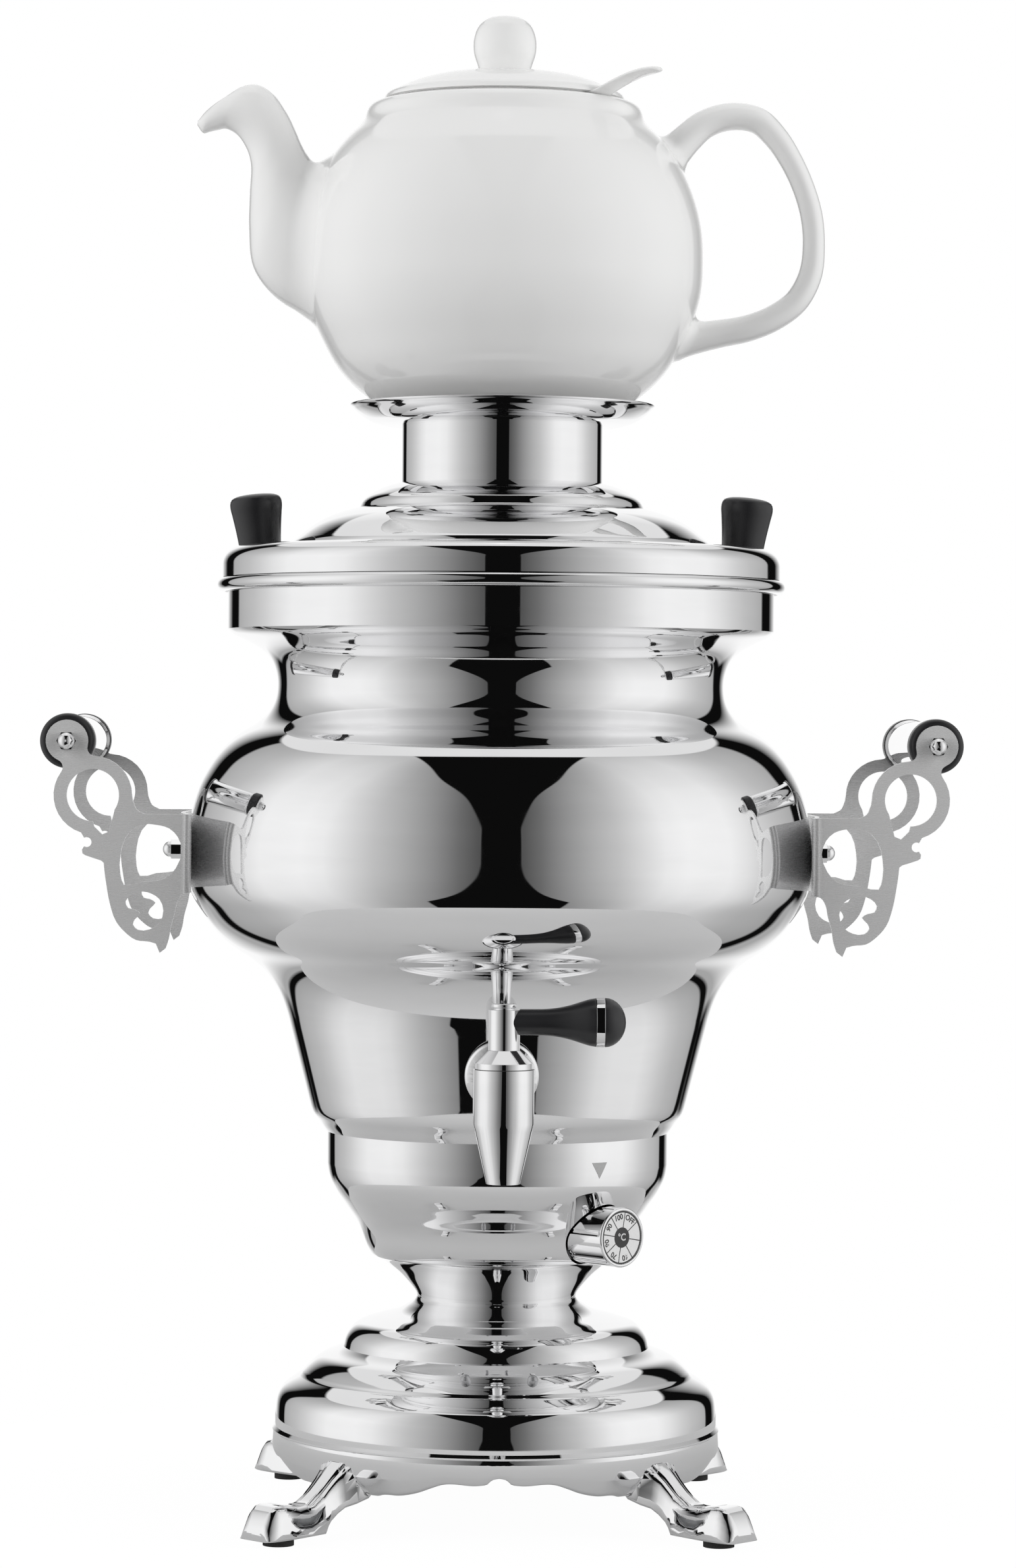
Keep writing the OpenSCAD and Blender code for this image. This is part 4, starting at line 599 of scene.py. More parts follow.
def copies_round(name, source, count, start, finish):
    """Copies of a piece spread evenly round its own Z axis by Geometry Nodes"""
    group = bpy.data.node_groups.new(name, "GeometryNodeTree")
    group.interface.new_socket("Geometry", in_out="OUTPUT", socket_type="NodeSocketGeometry")
    inputs = []
    for label, kind, value in (
        ("Source", "NodeSocketObject", source), ("Count", "NodeSocketInt", count),
        ("Start", "NodeSocketFloat", start), ("Material", "NodeSocketMaterial", finish),
    ):
        socket = group.interface.new_socket(label, in_out="INPUT", socket_type=kind)
        if label == "Start":
            socket.subtype = "ANGLE"
        inputs.append((socket.identifier, value))
    tree = Tree(group)
    given = tree.node("NodeGroupInput")
    turn = tree.node("GeometryNodeInputIndex") * (2 * math.pi / given["Count"]) + given["Start"]
    shape = tree.node("GeometryNodeObjectInfo", {"transform_space": "ORIGINAL"}, given["Source"])
    copies = tree.node(
        "GeometryNodeInstanceOnPoints", None, tree.node("GeometryNodePoints", None, given["Count"]),
        Instance=shape["Geometry"], Rotation=tree.node("ShaderNodeCombineXYZ", None, Z=turn),
    )
    real = tree.node("GeometryNodeRealizeInstances", None, copies)
    dress = tree.node("GeometryNodeSetMaterial", None, real, Material=given["Material"])
    tree.node("NodeGroupOutput", None, dress)
    holder = linked(name, bpy.data.meshes.new(name))
    modified(holder, "NODES", inputs, node_group=group)
    bpy.data.objects.remove(source)
    return holder


# Finishes


def material(name, build, *values):
    """Material of a finish, built once"""
    made = bpy.data.materials.get("finish_" + name)
    if not made:
        made = bpy.data.materials.new("finish_" + name)
        made.use_nodes = True
        build(Tree(made.node_tree), bpy.context.scene.samovar_finishes, *values)
    return made


def as_material(build):
    """Makes a function that fills a node tree into one that gives the material of its name"""
    return lambda *values: material(build.__name__, build, *values)


def darker(colour, share):
    """A colour times a share"""
    return tuple(c * share for c in colour)


@as_material
def mirror_chrome(tree, colours):
    """Plated steel, polished to a mirror, with faint waves and wiping marks"""
    marks = tree.ramp(tree.noise(34, 3, (1, 1, 6)), [(0.45, 0), (0.75, 1)])
    tint = tree.mix(marks, colours.chrome, darker(colours.chrome, 0.975))
    tree.surface(tint, 0.018 + marks * 0.03, 1, tree.noise(26, 1), colours.chrome_ripple)


@as_material
def inner_steel(tree, colours):
    """Brushed inside of the tank and the lid, its grain round the axis"""
    tree.grained(tree.noise(4, 4, (30, 30, 900)), (0.55,) * 3, (0.7,) * 3, 0.2, 0.15, 1, 0.00002)


@as_material
def satin_steel(tree, colours):
    """Bent strip, lightly brushed along its length"""
    grain = tree.noise(3, 3, (60, 60, 1200))
    tint = tree.mix(tree.noise(40, 2), darker(colours.satin, 0.95), colours.satin)
    tree.surface(tint, 0.22 + grain * 0.1, 0.42, grain, 0.00001)


@as_material
def plated_steel(tree, colours):
    """Zinc-plated screws, studs and fittings"""
    crystals = tree.node("ShaderNodeTexVoronoi", None, Vector=tree.coordinates(), Scale=900)
    tree.grained(crystals, (0.5, 0.51, 0.52), (0.66, 0.67, 0.68), 0.3, 0.12, 1, 0.00001)


@as_material
def machined_brass(tree, colours):
    """Turned brass with fine rings"""
    rings = tree.noise(2, 3, (80, 80, 2600))
    tree.grained(rings, (0.62, 0.43, 0.16), (0.78, 0.58, 0.26), 0.22, 0.14, 1, 0.00001)


@as_material
def black_plastic(tree, colours):
    """Moulded phenolic, glossy with a faint skin"""
    dull = tree.noise(70, 3)
    tint = tree.mix(dull, colours.black, darker(colours.black, 1.9))
    tree.surface(tint, 0.24 + dull * 0.16, 0, tree.noise(900, 3), 0.000008)


@as_material
def soft_rubber(tree, colours):
    """Moulded rubber, dull and a little dusty"""
    tree.grained(tree.noise(260, 4), (0.012,) * 3, (0.035, 0.034, 0.033), 0.62, 0.2, 0, 0.00003)


@as_material
def ivory_plastic(tree, colours):
    """Heat-proof moulding, slightly speckled"""
    specks = tree.noise(500, 4)
    tree.grained(specks, (0.72, 0.66, 0.54), (0.82, 0.77, 0.66), 0.45, 0.15, 0, 0.00002)


@as_material
def glazed_porcelain(tree, colours):
    """White body under a clear glaze with a faint swell"""
    swell = tree.noise(30, 2)
    tint = tree.mix(tree.noise(12, 2), colours.porcelain, darker(colours.porcelain, 0.985))
    tree.surface(
        tint, 0.09 + swell * 0.05, 0, swell, 0.00004, Coat_Weight=0.4, Coat_Roughness=0.03
    )


@as_material
def perforated_porcelain(tree, colours, rim, depth):
    """Glazed basket whose wall is pierced by rows of small holes"""
    columns, column_w, row_h, solid, hole_area = 48, 4.3, 4.2, 6.3, 0.72
    split = tree.node("ShaderNodeSeparateXYZ", None, tree.coordinates())
    x, y, z = split["X"], split["Y"], split["Z"]
    column = maths("ARCTAN2", x, y) * (columns / (2 * math.pi))
    across = (maths("FRACT", column) - 0.5) * column_w
    along = (maths("FRACT", (z - rim * MM) / (row_h * MM)) - 0.5) * row_h
    hole = (across * across + along * along) < hole_area
    wall = (z < (rim - solid) * MM) * (z > (rim - depth + solid) * MM)
    cloud = tree.noise(12, 2)
    tint = tree.mix(cloud, colours.porcelain, darker(colours.porcelain, 0.985))
    tree.surface(tint, 0.1 + cloud * 0.04, Alpha=1 - hole * wall)


@as_material
def lamp_lens(tree, colours):
    """Tinted lens of a lamp that is off"""
    rings = tree.noise(1500, 2)
    tree.grained(rings, (0.33, 0.33, 0.34), (0.5, 0.5, 0.51), 0.1, 0.05, 0.6, 0.00001)


@as_material
def dial_white(tree, colours):
    """White enamelled disc"""
    tree.grained(tree.noise(1800, 3), (0.8,) * 3, (0.88,) * 3, 0.3, 0.1, 0, 0.000006)


def printed(name, level):
    """Ink on a surface, a little uneven; also the near-black painted shadow in the tap's seam"""

    def build(tree, colours):
        tree.grained(tree.noise(2200, 2), (level,) * 3, (level * 1.35,) * 3, 0.42, 0.1)

    return material(name, build)


FINISH_OF_SLOT = {
    "chrome": mirror_chrome, "satin_steel": satin_steel, "plain_steel": plated_steel,
    "brass": machined_brass, "rubber": soft_rubber, "ivory_plastic": ivory_plastic,
    "black_plastic": black_plastic, "porcelain": glazed_porcelain, "dial_print": dial_white,
    "lamp_lens": lamp_lens,
}


# Pieces


def sizes():
    """The sizes that a user may change"""
    return bpy.context.scene.samovar_sizes


def smooth_line(path, reach=None):
    """Outline in millimetres, evened and faired by the settings"""
    return faired(
        path, sizes().outline_spacing / MM, sizes().fairing / MM if reach is None else reach
    )


def lined(obj):
    """The piece with the faces that look to its axis in brushed steel"""
    obj.data.materials.append(inner_steel())
    for face in obj.data.polygons:
        across = face.normal.x * face.center.x + face.normal.y * face.center.y
        if across < -0.25 * math.hypot(face.center.x, face.center.y):
            face.material_index = 1
    return obj


def shell(name, path, wall, body, node):
    """Turned chrome sheet between an outline in millimetres and its inset, brushed inside"""
    skin = turned(np.concatenate([path, inset(path, wall)[::-1]]), sizes().turn_steps)
    return place(lined(piece(name, skin, mirror_chrome())), body, "chrome", node)


def knob_axis(node):
    """Place on the upright axis at a node's middle height, its Z out along the knob's axis"""
    low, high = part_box(node)
    return (
        Matrix.Translation((0, 0, (low.z + high.z) / 2))
        @ Matrix.Rotation(KNOB_AZIMUTH, 4, "Z") @ Matrix.Rotation(math.pi / 2, 4, "X")
    )


class PieceOperator:
    """What the operators share"""

    bl_options = {"REGISTER", "UNDO"}


class SAMOVAR_OT_tank(PieceOperator, bpy.types.Operator):
    """Builds the water tank, from its foot to the bead round the mouth"""

    bl_idname = "samovar.tank"
    bl_label = "Tank"

    def execute(self, context):
        wall, floor, bead_r, foot_r, lip_h = 1.0, 1.5, 2.3, 56.9, 12.3
        taper_low, taper_top = (62.2, TANK_LOW + 8.7), (69.6, TANK_LOW + 37.5)
        belly = (103.5, taper_top[1] + 54.5)
        neck = (73.7, belly[1] + 55.6)
        collar = (90.4, neck[1] + 17.9)
        bead = (collar[0] - wall + bead_r, collar[1] + lip_h + bead_r)
        body = smooth_line(joined(
            curve(placed(taper_top, belly, LOWER_BELLY_SHARES)),
            curve(placed(belly, neck, UPPER_BELLY_SHARES)),
            curve(placed(neck, collar, THROAT_SHARES)),
        ))
        foot = smooth_line(curve(placed((foot_r, TANK_LOW), taper_low, FOOT_SHARES)), 0.6)
        start = math.degrees(math.acos(1 - wall / bead_r)) - 180
        outside = joined(
            foot, evened([taper_low, taper_top], 2.4), body,
            evened([collar, (collar[0], collar[1] + lip_h)], 1.5),
        )
        inside = inset(outside, wall)
        inside = inside[inside[:, 1] > TANK_LOW + floor]
        outline = joined(
            [(0, TANK_LOW)], outside, arc(bead, bead_r, start, 180, 24), inside[::-1],
            [(inside[0][0], TANK_LOW + floor), (0, TANK_LOW + floor)],
        )
        skin = turned(outline, sizes().turn_steps, closed=False)
        place(lined(piece("tank_shell", skin, mirror_chrome())), "samovar", "chrome", "tank")
        return {"FINISHED"}


class SAMOVAR_OT_housing(PieceOperator, bpy.types.Operator):
    """Builds the heater housing below the tank, with the hole for the knob and its pointer"""

    bl_idname = "samovar.housing"
    bl_label = "Heater housing"

    def execute(self, context):
        waist, crease = (WAIST_R, WAIST), (41.5, WAIST + 14.1)
        hole_r, hole_start, hole_end = 10.2, 36, 70
        rim = (56.4, crease[1] + 30.4)
        path = joined(
            smooth_line(curve(placed(waist, crease, FUNNEL_SHARES)), 0.8),
            smooth_line(curve(placed(crease, rim, BOWL_SHARES)), 1.2),
            [(rim[0], TANK_LOW)],
        )
        obj = shell("heater_housing_shell", path, 1.0, "samovar", "heater_housing")
        hole = [(0, hole_start), (hole_r, hole_start), (hole_r, hole_end), (0, hole_end)]
        hole = turned(hole, 64, closed=False)
        carved(obj, moved(hole, knob_axis("thermostat_knob")))
        self.pointer(path)
        return {"FINISHED"}

    def pointer(self, path):
        """Small printed triangle over the knob, laid on the curved wall"""
        middle, half_w, low, high, proud, rows = math.radians(34.8), 3.0, 114.7, 119.9, 0.05, 6
        points, faces = [], []
        for k in range(rows + 1):
            z = low + (high - low) * k / rows
            r = float(np.interp(z, path[:, 1], path[:, 0])) + proud
            for side in (-1, -0.5, 0, 0.5, 1):
                a = middle + side * half_w * k / rows / r
                points.append((r * math.sin(a), -r * math.cos(a), z))
        for k in range(rows):
            for at in range(k * 5, k * 5 + 4):
                faces.append((at, at + 1, at + 6, at + 5))
        obj = piece("knob_pointer", in_metres((points, faces)), printed("pointer_grey", 0.38))
        place(obj, "samovar", "chrome")


class SAMOVAR_OT_base(PieceOperator, bpy.types.Operator):
    """Builds the stepped pedestal and the scalloped skirt"""

    bl_idname = "samovar.base"
    bl_label = "Base"

    def execute(self, context):
        low, top = (SKIRT_R - 0.9, SKIRT_TOP), (WAIST_R, WAIST)
        path = joined(
            placed((SKIRT_R, SKIRT_TOP), (low[0], WAIST), TIER_LIP_SHARES),
            smooth_line(curve(placed(low, top, TIER_C_SHARES)), 1.0),
            smooth_line(curve(placed(low, top, TIER_B_SHARES)), 0.8),
            smooth_line(curve(placed(low, top, TIER_A_SHARES)), 1.0),
        )
        shell("pedestal_shell", path, 1.0, "samovar", "pedestal")
        self.skirt()
        return {"FINISHED"}

    def skirt(self):
        """Wall whose rounded lower edge follows the scallops"""
        steps = 2 * sizes().turn_steps
        wall, half_w, draft, chamfer = 2.0, 47.0, 0.3, 0.25
        round_w, round_h, height = 5.9, 6.5, SKIRT_TOP - SKIRT_LOW
        half = curve(np.array(SCALLOP_SHARES) * (half_w, height), 6)
        edge = curve(np.array(EDGE_ROUND_SHARES), 4)
        rings = []
        for a in np.arange(steps + 1) * 2 * math.pi / steps:
            side = (a + math.pi / 4) % (math.pi / 2) - math.pi / 4
            across = abs(SKIRT_R * math.sin(side))
            lift = 0.0
            if across < half_w:
                lift = max(0.0, float(np.interp(-across, half[:, 0], half[:, 1])))
            share = 1 - 1.4 * lift / height
            outer = joined(
                edge * (round_w * share, round_h * share)
                + (SKIRT_R - round_w * share, SKIRT_LOW + lift),
                [(SKIRT_R - draft, SKIRT_TOP - chamfer), (SKIRT_R - draft - chamfer, SKIRT_TOP)],
            )
            inner = [
                (SKIRT_R - wall, SKIRT_TOP), (SKIRT_R - wall, outer[-3][1]),
                (outer[0][0] - 0.7, SKIRT_LOW + lift + 0.9),
            ]
            rings.append([(r * math.sin(a), -r * math.cos(a), z) for r, z in [*outer, *inner]])
        obj = piece("base_skirt_shell", in_metres(lofted(rings, ends=False)), mirror_chrome())
        place(obj, "samovar", "chrome", "base_skirt")


class SAMOVAR_OT_legs(PieceOperator, bpy.types.Operator):
    """Dresses the four cast legs"""

    bl_idname = "samovar.legs"
    bl_label = "Legs"

    def execute(self, context):
        for node in ("leg_front_right", "leg_front_left", "leg_rear_right", "leg_rear_left"):
            dressed(node, mirror_chrome(), 50, 0)
        return {"FINISHED"}


class SAMOVAR_OT_tap(PieceOperator, bpy.types.Operator):
    """Dresses the tap, its bonnet, plug and lever"""

    bl_idname = "samovar.tap"
    bl_label = "Tap"

    def execute(self, context):
        for node in ("tap_body", "tap_bonnet", "tap_rosette", "tap_cap", "lever_ring"):
            dressed(node, mirror_chrome())
        # A thin near-black ring round the foot of the bonnet: painted shadow in the seam between the
        # bonnet and the tap body
        low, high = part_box("tap_bonnet")
        middle, reach = (low + high) / 2, (high.x - low.x) / 2 / MM
        inner, outer, under, over = reach - 0.6, reach + 0.04, -0.25, 0.2
        ring = turned([(inner, under), (outer, under), (outer, over), (inner, over)], 96)
        ring = moved(ring, Matrix.Translation((middle.x, middle.y, low.z)))
        place(piece("tap_seam", ring, printed("seam_shadow", 0.03)), "samovar", "chrome")
        dressed("tap_plug", mirror_chrome())
        for node in ("tap_lever", "lever_tip"):
            dressed(node, black_plastic())
        return {"FINISHED"}


class SAMOVAR_OT_handles(PieceOperator, bpy.types.Operator):
    """Dresses the pierced brackets, the grips and their nuts"""

    bl_idname = "samovar.handles"
    bl_label = "Handles"

    def execute(self, context):
        for side in ("right", "left"):
            dressed("bracket_" + side, satin_steel())
            dressed("grip_barrel_" + side, mirror_chrome())
            dressed("grip_caps_" + side, black_plastic())
        for node in ("bracket_nuts", "grip_nuts"):
            dressed(node, mirror_chrome())
        return {"FINISHED"}


class SAMOVAR_OT_knob(PieceOperator, bpy.types.Operator):
    """Dresses the control knob and prints its dial"""

    bl_idname = "samovar.knob"
    bl_label = "Control knob"

    def execute(self, context):
        upright = knob_axis("dial_face")
        obj = piece("knob_skin", moved(self.barrel(), upright), mirror_chrome(), 50)
        place(obj, "thermostat_dial", "chrome", "thermostat_knob")
        dial_out = 59.72
        stand = upright @ Matrix.Translation((0, 0, dial_out * MM))
        self.marks(stand)
        self.numbers(stand)
        return {"FINISHED"}

    def barrel(self):
        """Rounded barrel with shallow grooves along it, a recess for the dial and a bore"""
        radius, depth, reach, bore_r, recess_r, recess = 9.7, 18.5, 60.0, 3.1, 8.66, 1.0
        grooves, first, groove_depth, groove_half_w, fade, back_off = 6, 10, 0.32, 0.85, 0.3, 1.6
        back, corner, chamfer = reach - depth, 0.6, 0.14
        outline = joined(
            [(bore_r, back), (radius - corner, back)], [(radius, back + corner)],
            [(radius, z) for z in np.linspace(back + 1.2, reach - 0.9, 40)],
            arc((radius - corner, reach - corner), corner, 0, 90, 6),
            [(recess_r + chamfer, reach), (recess_r, reach - chamfer)],
            [(recess_r, reach - recess), (bore_r, reach - recess)],
        )
        points, faces = turned(outline, 288)
        shaped = []
        for x, y, z in points:
            r, turn = math.hypot(x, y) / MM, math.atan2(y, x) + math.radians(first)
            span = 2 * math.pi / grooves
            across = abs((turn + span / 2) % span - span / 2) * radius
            off = math.hypot(across, max(z / MM - (reach - back_off), 0.0))
            dip = groove_depth * min(1.0, max(0.0, (groove_half_w - off) / fade))
            dip = dip if r > radius - 0.1 else 0.0
            shaped.append((x * (r - dip) / r, y * (r - dip) / r, z))
        return shaped, faces

    def marks(self, stand):
        """Ring, hub and dividing lines, each a thin raised print"""
        ink, high, dividers, first = printed("dial_ink", 0.03), 0.03, 8, math.radians(80)
        rings = [
            turned([(inner, 0), (outer, 0), (outer, top), (inner, top)], 64, closed=inner > 0)
            for inner, outer, top in ((8.1, 8.6, high), (0.0, 3.3, 0.04))
        ]
        obj = piece("dial_marks", moved(merged(*rings), stand), ink)
        place(obj, "thermostat_dial", "dial_print")
        inner, outer, half_w = 3.0, 8.3, 0.14
        corners = [(inner, -half_w), (outer, -half_w), (outer, half_w), (inner, half_w)]
        line = lofted([[(x, y, z) for x, y in corners] for z in (0, high)])
        line = piece("dial_line", in_metres(line), ink)
        ring = copies_round("dial_dividers", line, dividers, first, ink)
        ring.data.transform(stand)
        place(ring, "thermostat_dial", "dial_print")
        dressed("dial_face", dial_white(), 30, 0)

    def numbers(self, stand):
        """Temperatures and OFF, each readable with its sector at the top"""
        ink, white = printed("dial_ink", 0.03), printed("hub_white", 0.6)
        first, step, out, height, hub_height = 57.5, 45, 6.6, 2.5, 3.2
        words = [
            (word, first + step * k, out, height)
            for k, word in enumerate(("OFF", "100", "90", "80", "70", "60"))
        ]
        for word, a, reach, size in words + [("°C", 90, 0, hub_height)]:
            text = bpy.data.curves.new("dial_" + word, "FONT")
            text.body = word
            text.size = size * MM
            text.offset = 0.06 * MM
            text.align_x, text.align_y = "CENTER", "CENTER"
            text.extrude = (0.02 if reach else 0.05) * MM
            made = linked("dial_" + word, text)
            depsgraph = bpy.context.evaluated_depsgraph_get()
            mesh = bpy.data.meshes.new_from_object(made.evaluated_get(depsgraph))
            bpy.data.objects.remove(made)
            turn = Matrix.Rotation(math.radians(a - 90), 4, "Z")
            mesh.transform(stand @ turn @ Matrix.Translation((0, reach * MM, 0)))
            mesh.materials.clear()
            mesh.materials.append(ink if reach else white)
            obj = linked("dial_number_" + (word if reach else "hub"), mesh)
            place(obj, "thermostat_dial", "dial_print")


class SAMOVAR_OT_lid(PieceOperator, bpy.types.Operator):
    """Builds the stepped lid, its crown and the teapot's stand"""

    bl_idname = "samovar.lid"
    bl_label = "Lid"

    def execute(self, context):
        lid_r, rim_h, turn_r = 92.3, 10.3, 6.0
        step_r, dome_r, top_r, bore_r, crown_r = 69.4, 47.3, 34.5, 27.2, 33.2
        wall, foot_r, brim_r, brim_h = 0.8, 39.8, 50.2, 6.2
        flat = LID_LOW + rim_h - 0.5
        dome, crown = flat + 13.8, flat + 21.8
        path = joined(
            [(lid_r, LID_LOW)],
            arc((lid_r - turn_r, LID_LOW + rim_h - turn_r), turn_r, 0, 90, 16),
            [(lid_r - 7.3, flat), (step_r + 0.8, flat)],
            smooth_line(curve(placed((step_r, flat), (dome_r, dome), LOWER_DOME_SHARES)), 0.8),
            smooth_line(curve(placed((dome_r, dome), (top_r, crown), UPPER_DOME_SHARES)), 0.6),
            [(bore_r, crown)],
        )
        shell("lid_shell", path, wall, "lid", "lid_cover")
        tube = [(crown_r, CROWN_LOW), (crown_r, STAND_LOW)]
        tube += [(crown_r - wall, STAND_LOW), (crown_r - wall, CROWN_LOW)]
        tube = turned(tube, sizes().turn_steps)
        place(piece("crown_tube", tube, mirror_chrome()), "lid", "chrome", "crown")
        dish = curve(placed((foot_r, STAND_LOW), (brim_r, STAND_LOW + brim_h), STAND_SHARES))
        stand = joined([(14, STAND_LOW)], smooth_line(dish, 0.6))
        rim = arc((brim_r - 0.2, STAND_LOW + brim_h + 0.2), 0.45, -30, 120, 6)
        shell("teapot_stand_dish", joined(stand[:-1], rim), wall, "lid", "teapot_stand")
        dressed("lid_ring", mirror_chrome())
        self.knobs()
        return {"FINISHED"}

    def knobs(self):
        """Two black knobs that lean outwards"""
        radius, height, out, up, lean = 8.6, 18, 79.8, LID_LOW + 9.8, math.radians(6)
        path = smooth_line(curve(np.array(LID_KNOB_SHARES) * (radius, height)), 0.4)
        skin = turned(joined([(0, 0)], path, [(0, height)]), 96, closed=False)
        for name, side in (("right", 1), ("left", -1)):
            stand = Matrix.Translation((side * out * MM, 0, up * MM))
            stand = stand @ Matrix.Rotation(side * lean, 4, "Y")
            obj = piece("lid_knob_" + name + "_skin", moved(skin, stand), black_plastic())
            place(obj, "lid", "black_plastic", "lid_knob_" + name)


class SAMOVAR_OT_teapot(PieceOperator, bpy.types.Operator):
    """Builds the porcelain teapot with its spout, handle, strainer and lid"""

    bl_idname = "samovar.teapot"
    bl_label = "Teapot"

    def execute(self, context):
        self.pot()
        self.lid()
        self.strainer()
        return {"FINISHED"}

    def strainer(self):
        """Basket under a flat rim, with the rounded tab that lifts it"""
        rim_r, basket_r, rim = 37.5, 33.0, POT_LOW + POT_H + 0.05
        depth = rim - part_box("tea_strainer")[0].z / MM
        outline = [
            (0, -depth), (basket_r - 5, -depth), (basket_r - 1.5, 1.5 - depth),
            (basket_r, 5 - depth), (basket_r, 0), (rim_r, 0), (rim_r + 0.1, 0.4), (rim_r, 0.8),
            (basket_r - 0.8, 0.8), (basket_r - 0.8, 5 - depth), (basket_r - 2.2, 2.3 - depth),
            (basket_r - 5.3, 0.8 - depth), (0, 0.8 - depth),
        ]
        skin = turned(np.array(outline) + (0, rim), 160, closed=False)
        obj = piece("strainer_basket", skin, perforated_porcelain(rim, depth), 45)
        place(obj, "strainer", "porcelain", "tea_strainer")
        # Reach, height over the rim, half width and half thickness along the tab
        path = curve(np.array([
            (35.0, 0.6, 4.2, 0.5), (38.5, 0.7, 4.6, 0.9), (41.5, 1.0, 4.7, 1.2),
            (44.5, 2.2, 4.6, 1.2), (50, 4.2, 4.4, 1.15), (56, 5.8, 4.3, 1.1),
            (60.5, 6.4, 4.0, 1.1), (63, 6.5, 2.9, 0.95), (64.2, 6.5, 1.4, 0.6),
            (64.5, 6.5, 0.3, 0.15),
        ]), 8)
        tab = lofted([[
            (half_w * math.cos(a), -r, rim + z + thick * math.sin(a))
            for a in np.arange(32) * math.pi / 16
        ] for r, z, half_w, thick in path])
        tab = moved(in_metres(tab), Matrix.Rotation(math.radians(50), 4, "Z"))
        place(piece("strainer_tab", tab, glazed_porcelain(), 60), "strainer", "porcelain")

    def pot(self):
        """Hollow body with its spout and its handle, one fired piece"""
        wall, mouth, neck, floor, foot_r, foot_h = 3.5, 34.2, POT_H - 6, 5.9, 33, 2.4
        outside = smooth_line(curve(np.array(POT_SHARES) * (POT_R, POT_H)), 1.2)
        cavity = inset(outside, wall)
        cavity = cavity[(cavity[:, 1] > floor) & (cavity[:, 1] < neck) & (cavity[:, 0] > mouth)]
        outline = joined(
            [(0, foot_h), (foot_r, foot_h), (foot_r, 0)], outside, [(mouth, POT_H)], [(mouth, neck)],
            cavity[::-1], [(cavity[0][0], floor), (0, floor)],
        )
        body = turned(outline, sizes().turn_steps, closed=False)
        skin = merged(body, self.opened(self.spout(outside)), self.handle(outside))
        skin = moved(skin, Matrix.Translation((0, 0, POT_LOW * MM)))
        place(piece("teapot_body", skin, glazed_porcelain(), 45), "pot", "porcelain", "teapot")

    def limb(self, rings, middles, outside, fillet, both_ends):
        """Skin of a limb whose ends meet the turned body in a fillet and run into its wall"""
        rings, middles = np.array(rings), np.array(middles)
        line = evened(outside, 0.15)
        slopes = np.gradient(line, axis=0)
        slopes /= np.linalg.norm(slopes, axis=1)[:, None]
        rows = np.arange(len(rings), dtype=float)

        def foot(points):
            r = np.hypot(points[:, 0], points[:, 1])
            near = ((line[None] - np.stack([r, points[:, 2]], 1)[:, None]) ** 2).sum(2).argmin(1)
            base, (dr, dz) = line[near], slopes[near].T
            depth = (r - base[:, 0]) * dz - (points[:, 2] - base[:, 1]) * dr
            return depth, base, np.stack([dz, -dr], 1)

        def at_depth(points, depth):
            r = np.hypot(points[:, 0], points[:, 1])
            _, base, out = foot(points)
            spot = base + out * depth
            return np.column_stack([points[:, :2] / r[:, None] * spot[:, :1], spot[:, 1]])

        def along(t):
            low = np.clip(np.floor(t).astype(int), 0, len(rings) - 2)
            share = (t - low)[:, None]
            sides = np.arange(len(t))
            return (
                rings[low, sides] * (1 - share) + rings[low + 1, sides] * share,
                middles[low] * (1 - share) + middles[low + 1] * share,
            )

        def grown(order):
            span = order[: len(order) // 2]
            gaps = np.stack([
                np.maximum.accumulate(foot(rings[span, side])[0]) for side in range(rings.shape[1])
            ], 1)
            skirt = []
            for turn in np.linspace(0, math.pi / 2, 9):
                depth = fillet * (1 - math.cos(turn))
                t = np.array([np.interp(depth, gap, rows[span]) for gap in gaps.T])
                points, centres = along(t)
                away = points - centres
                away /= np.linalg.norm(away, axis=1)[:, None]
                skirt.append(at_depth(points + away * fillet * (1 - math.sin(turn)), depth))
            sunk = [at_depth(skirt[0], -1.2)]
            centre = sunk[0].mean(0)
            for share in (0.8, 0.6, 0.4, 0.2):
                sunk.append(at_depth(centre + (sunk[0] - centre) * share, -1.2))
            return sunk[::-1] + skirt, t

        order = np.arange(len(rings))
        start, first = grown(order)
        end, last = [], np.full(rings.shape[1], rows[-1])
        if both_ends:
            end, last = grown(order[::-1])
        middle = [along(first + (last - first) * share)[0] for share in np.linspace(0, 1, 100)]
        middle = middle[1:-1] if both_ends else middle[1:]
        points, faces = lofted([[tuple(p) for p in ring] for ring in start + middle + end[::-1]])
        return [tuple(c * MM for c in p) for p in points], faces

    def sections(self):
        """Middle, upright half and half width of each section of the spout"""
        for *ends, half_w in curve(np.array(SPOUT_SHARES) * (POT_R, POT_H, POT_R, POT_H, POT_R)):
            low, top = np.array(ends[:2]), np.array(ends[2:])
            yield (low + top) / 2, (top - low) / 2, half_w

    def spout(self, outside):
        """Outside of the spout"""
        rings = [[
            (-mid[0] - up[0] * math.cos(a), half_w * math.sin(a), mid[1] + up[1] * math.cos(a))
            for a in np.arange(48) * math.pi / 24
        ] for mid, up, half_w in self.sections()]
        middles = [(-mid[0], 0, mid[1]) for mid, up, half_w in self.sections()]
        return self.limb(rings, middles, outside, sizes().porcelain_fillet / MM, False)

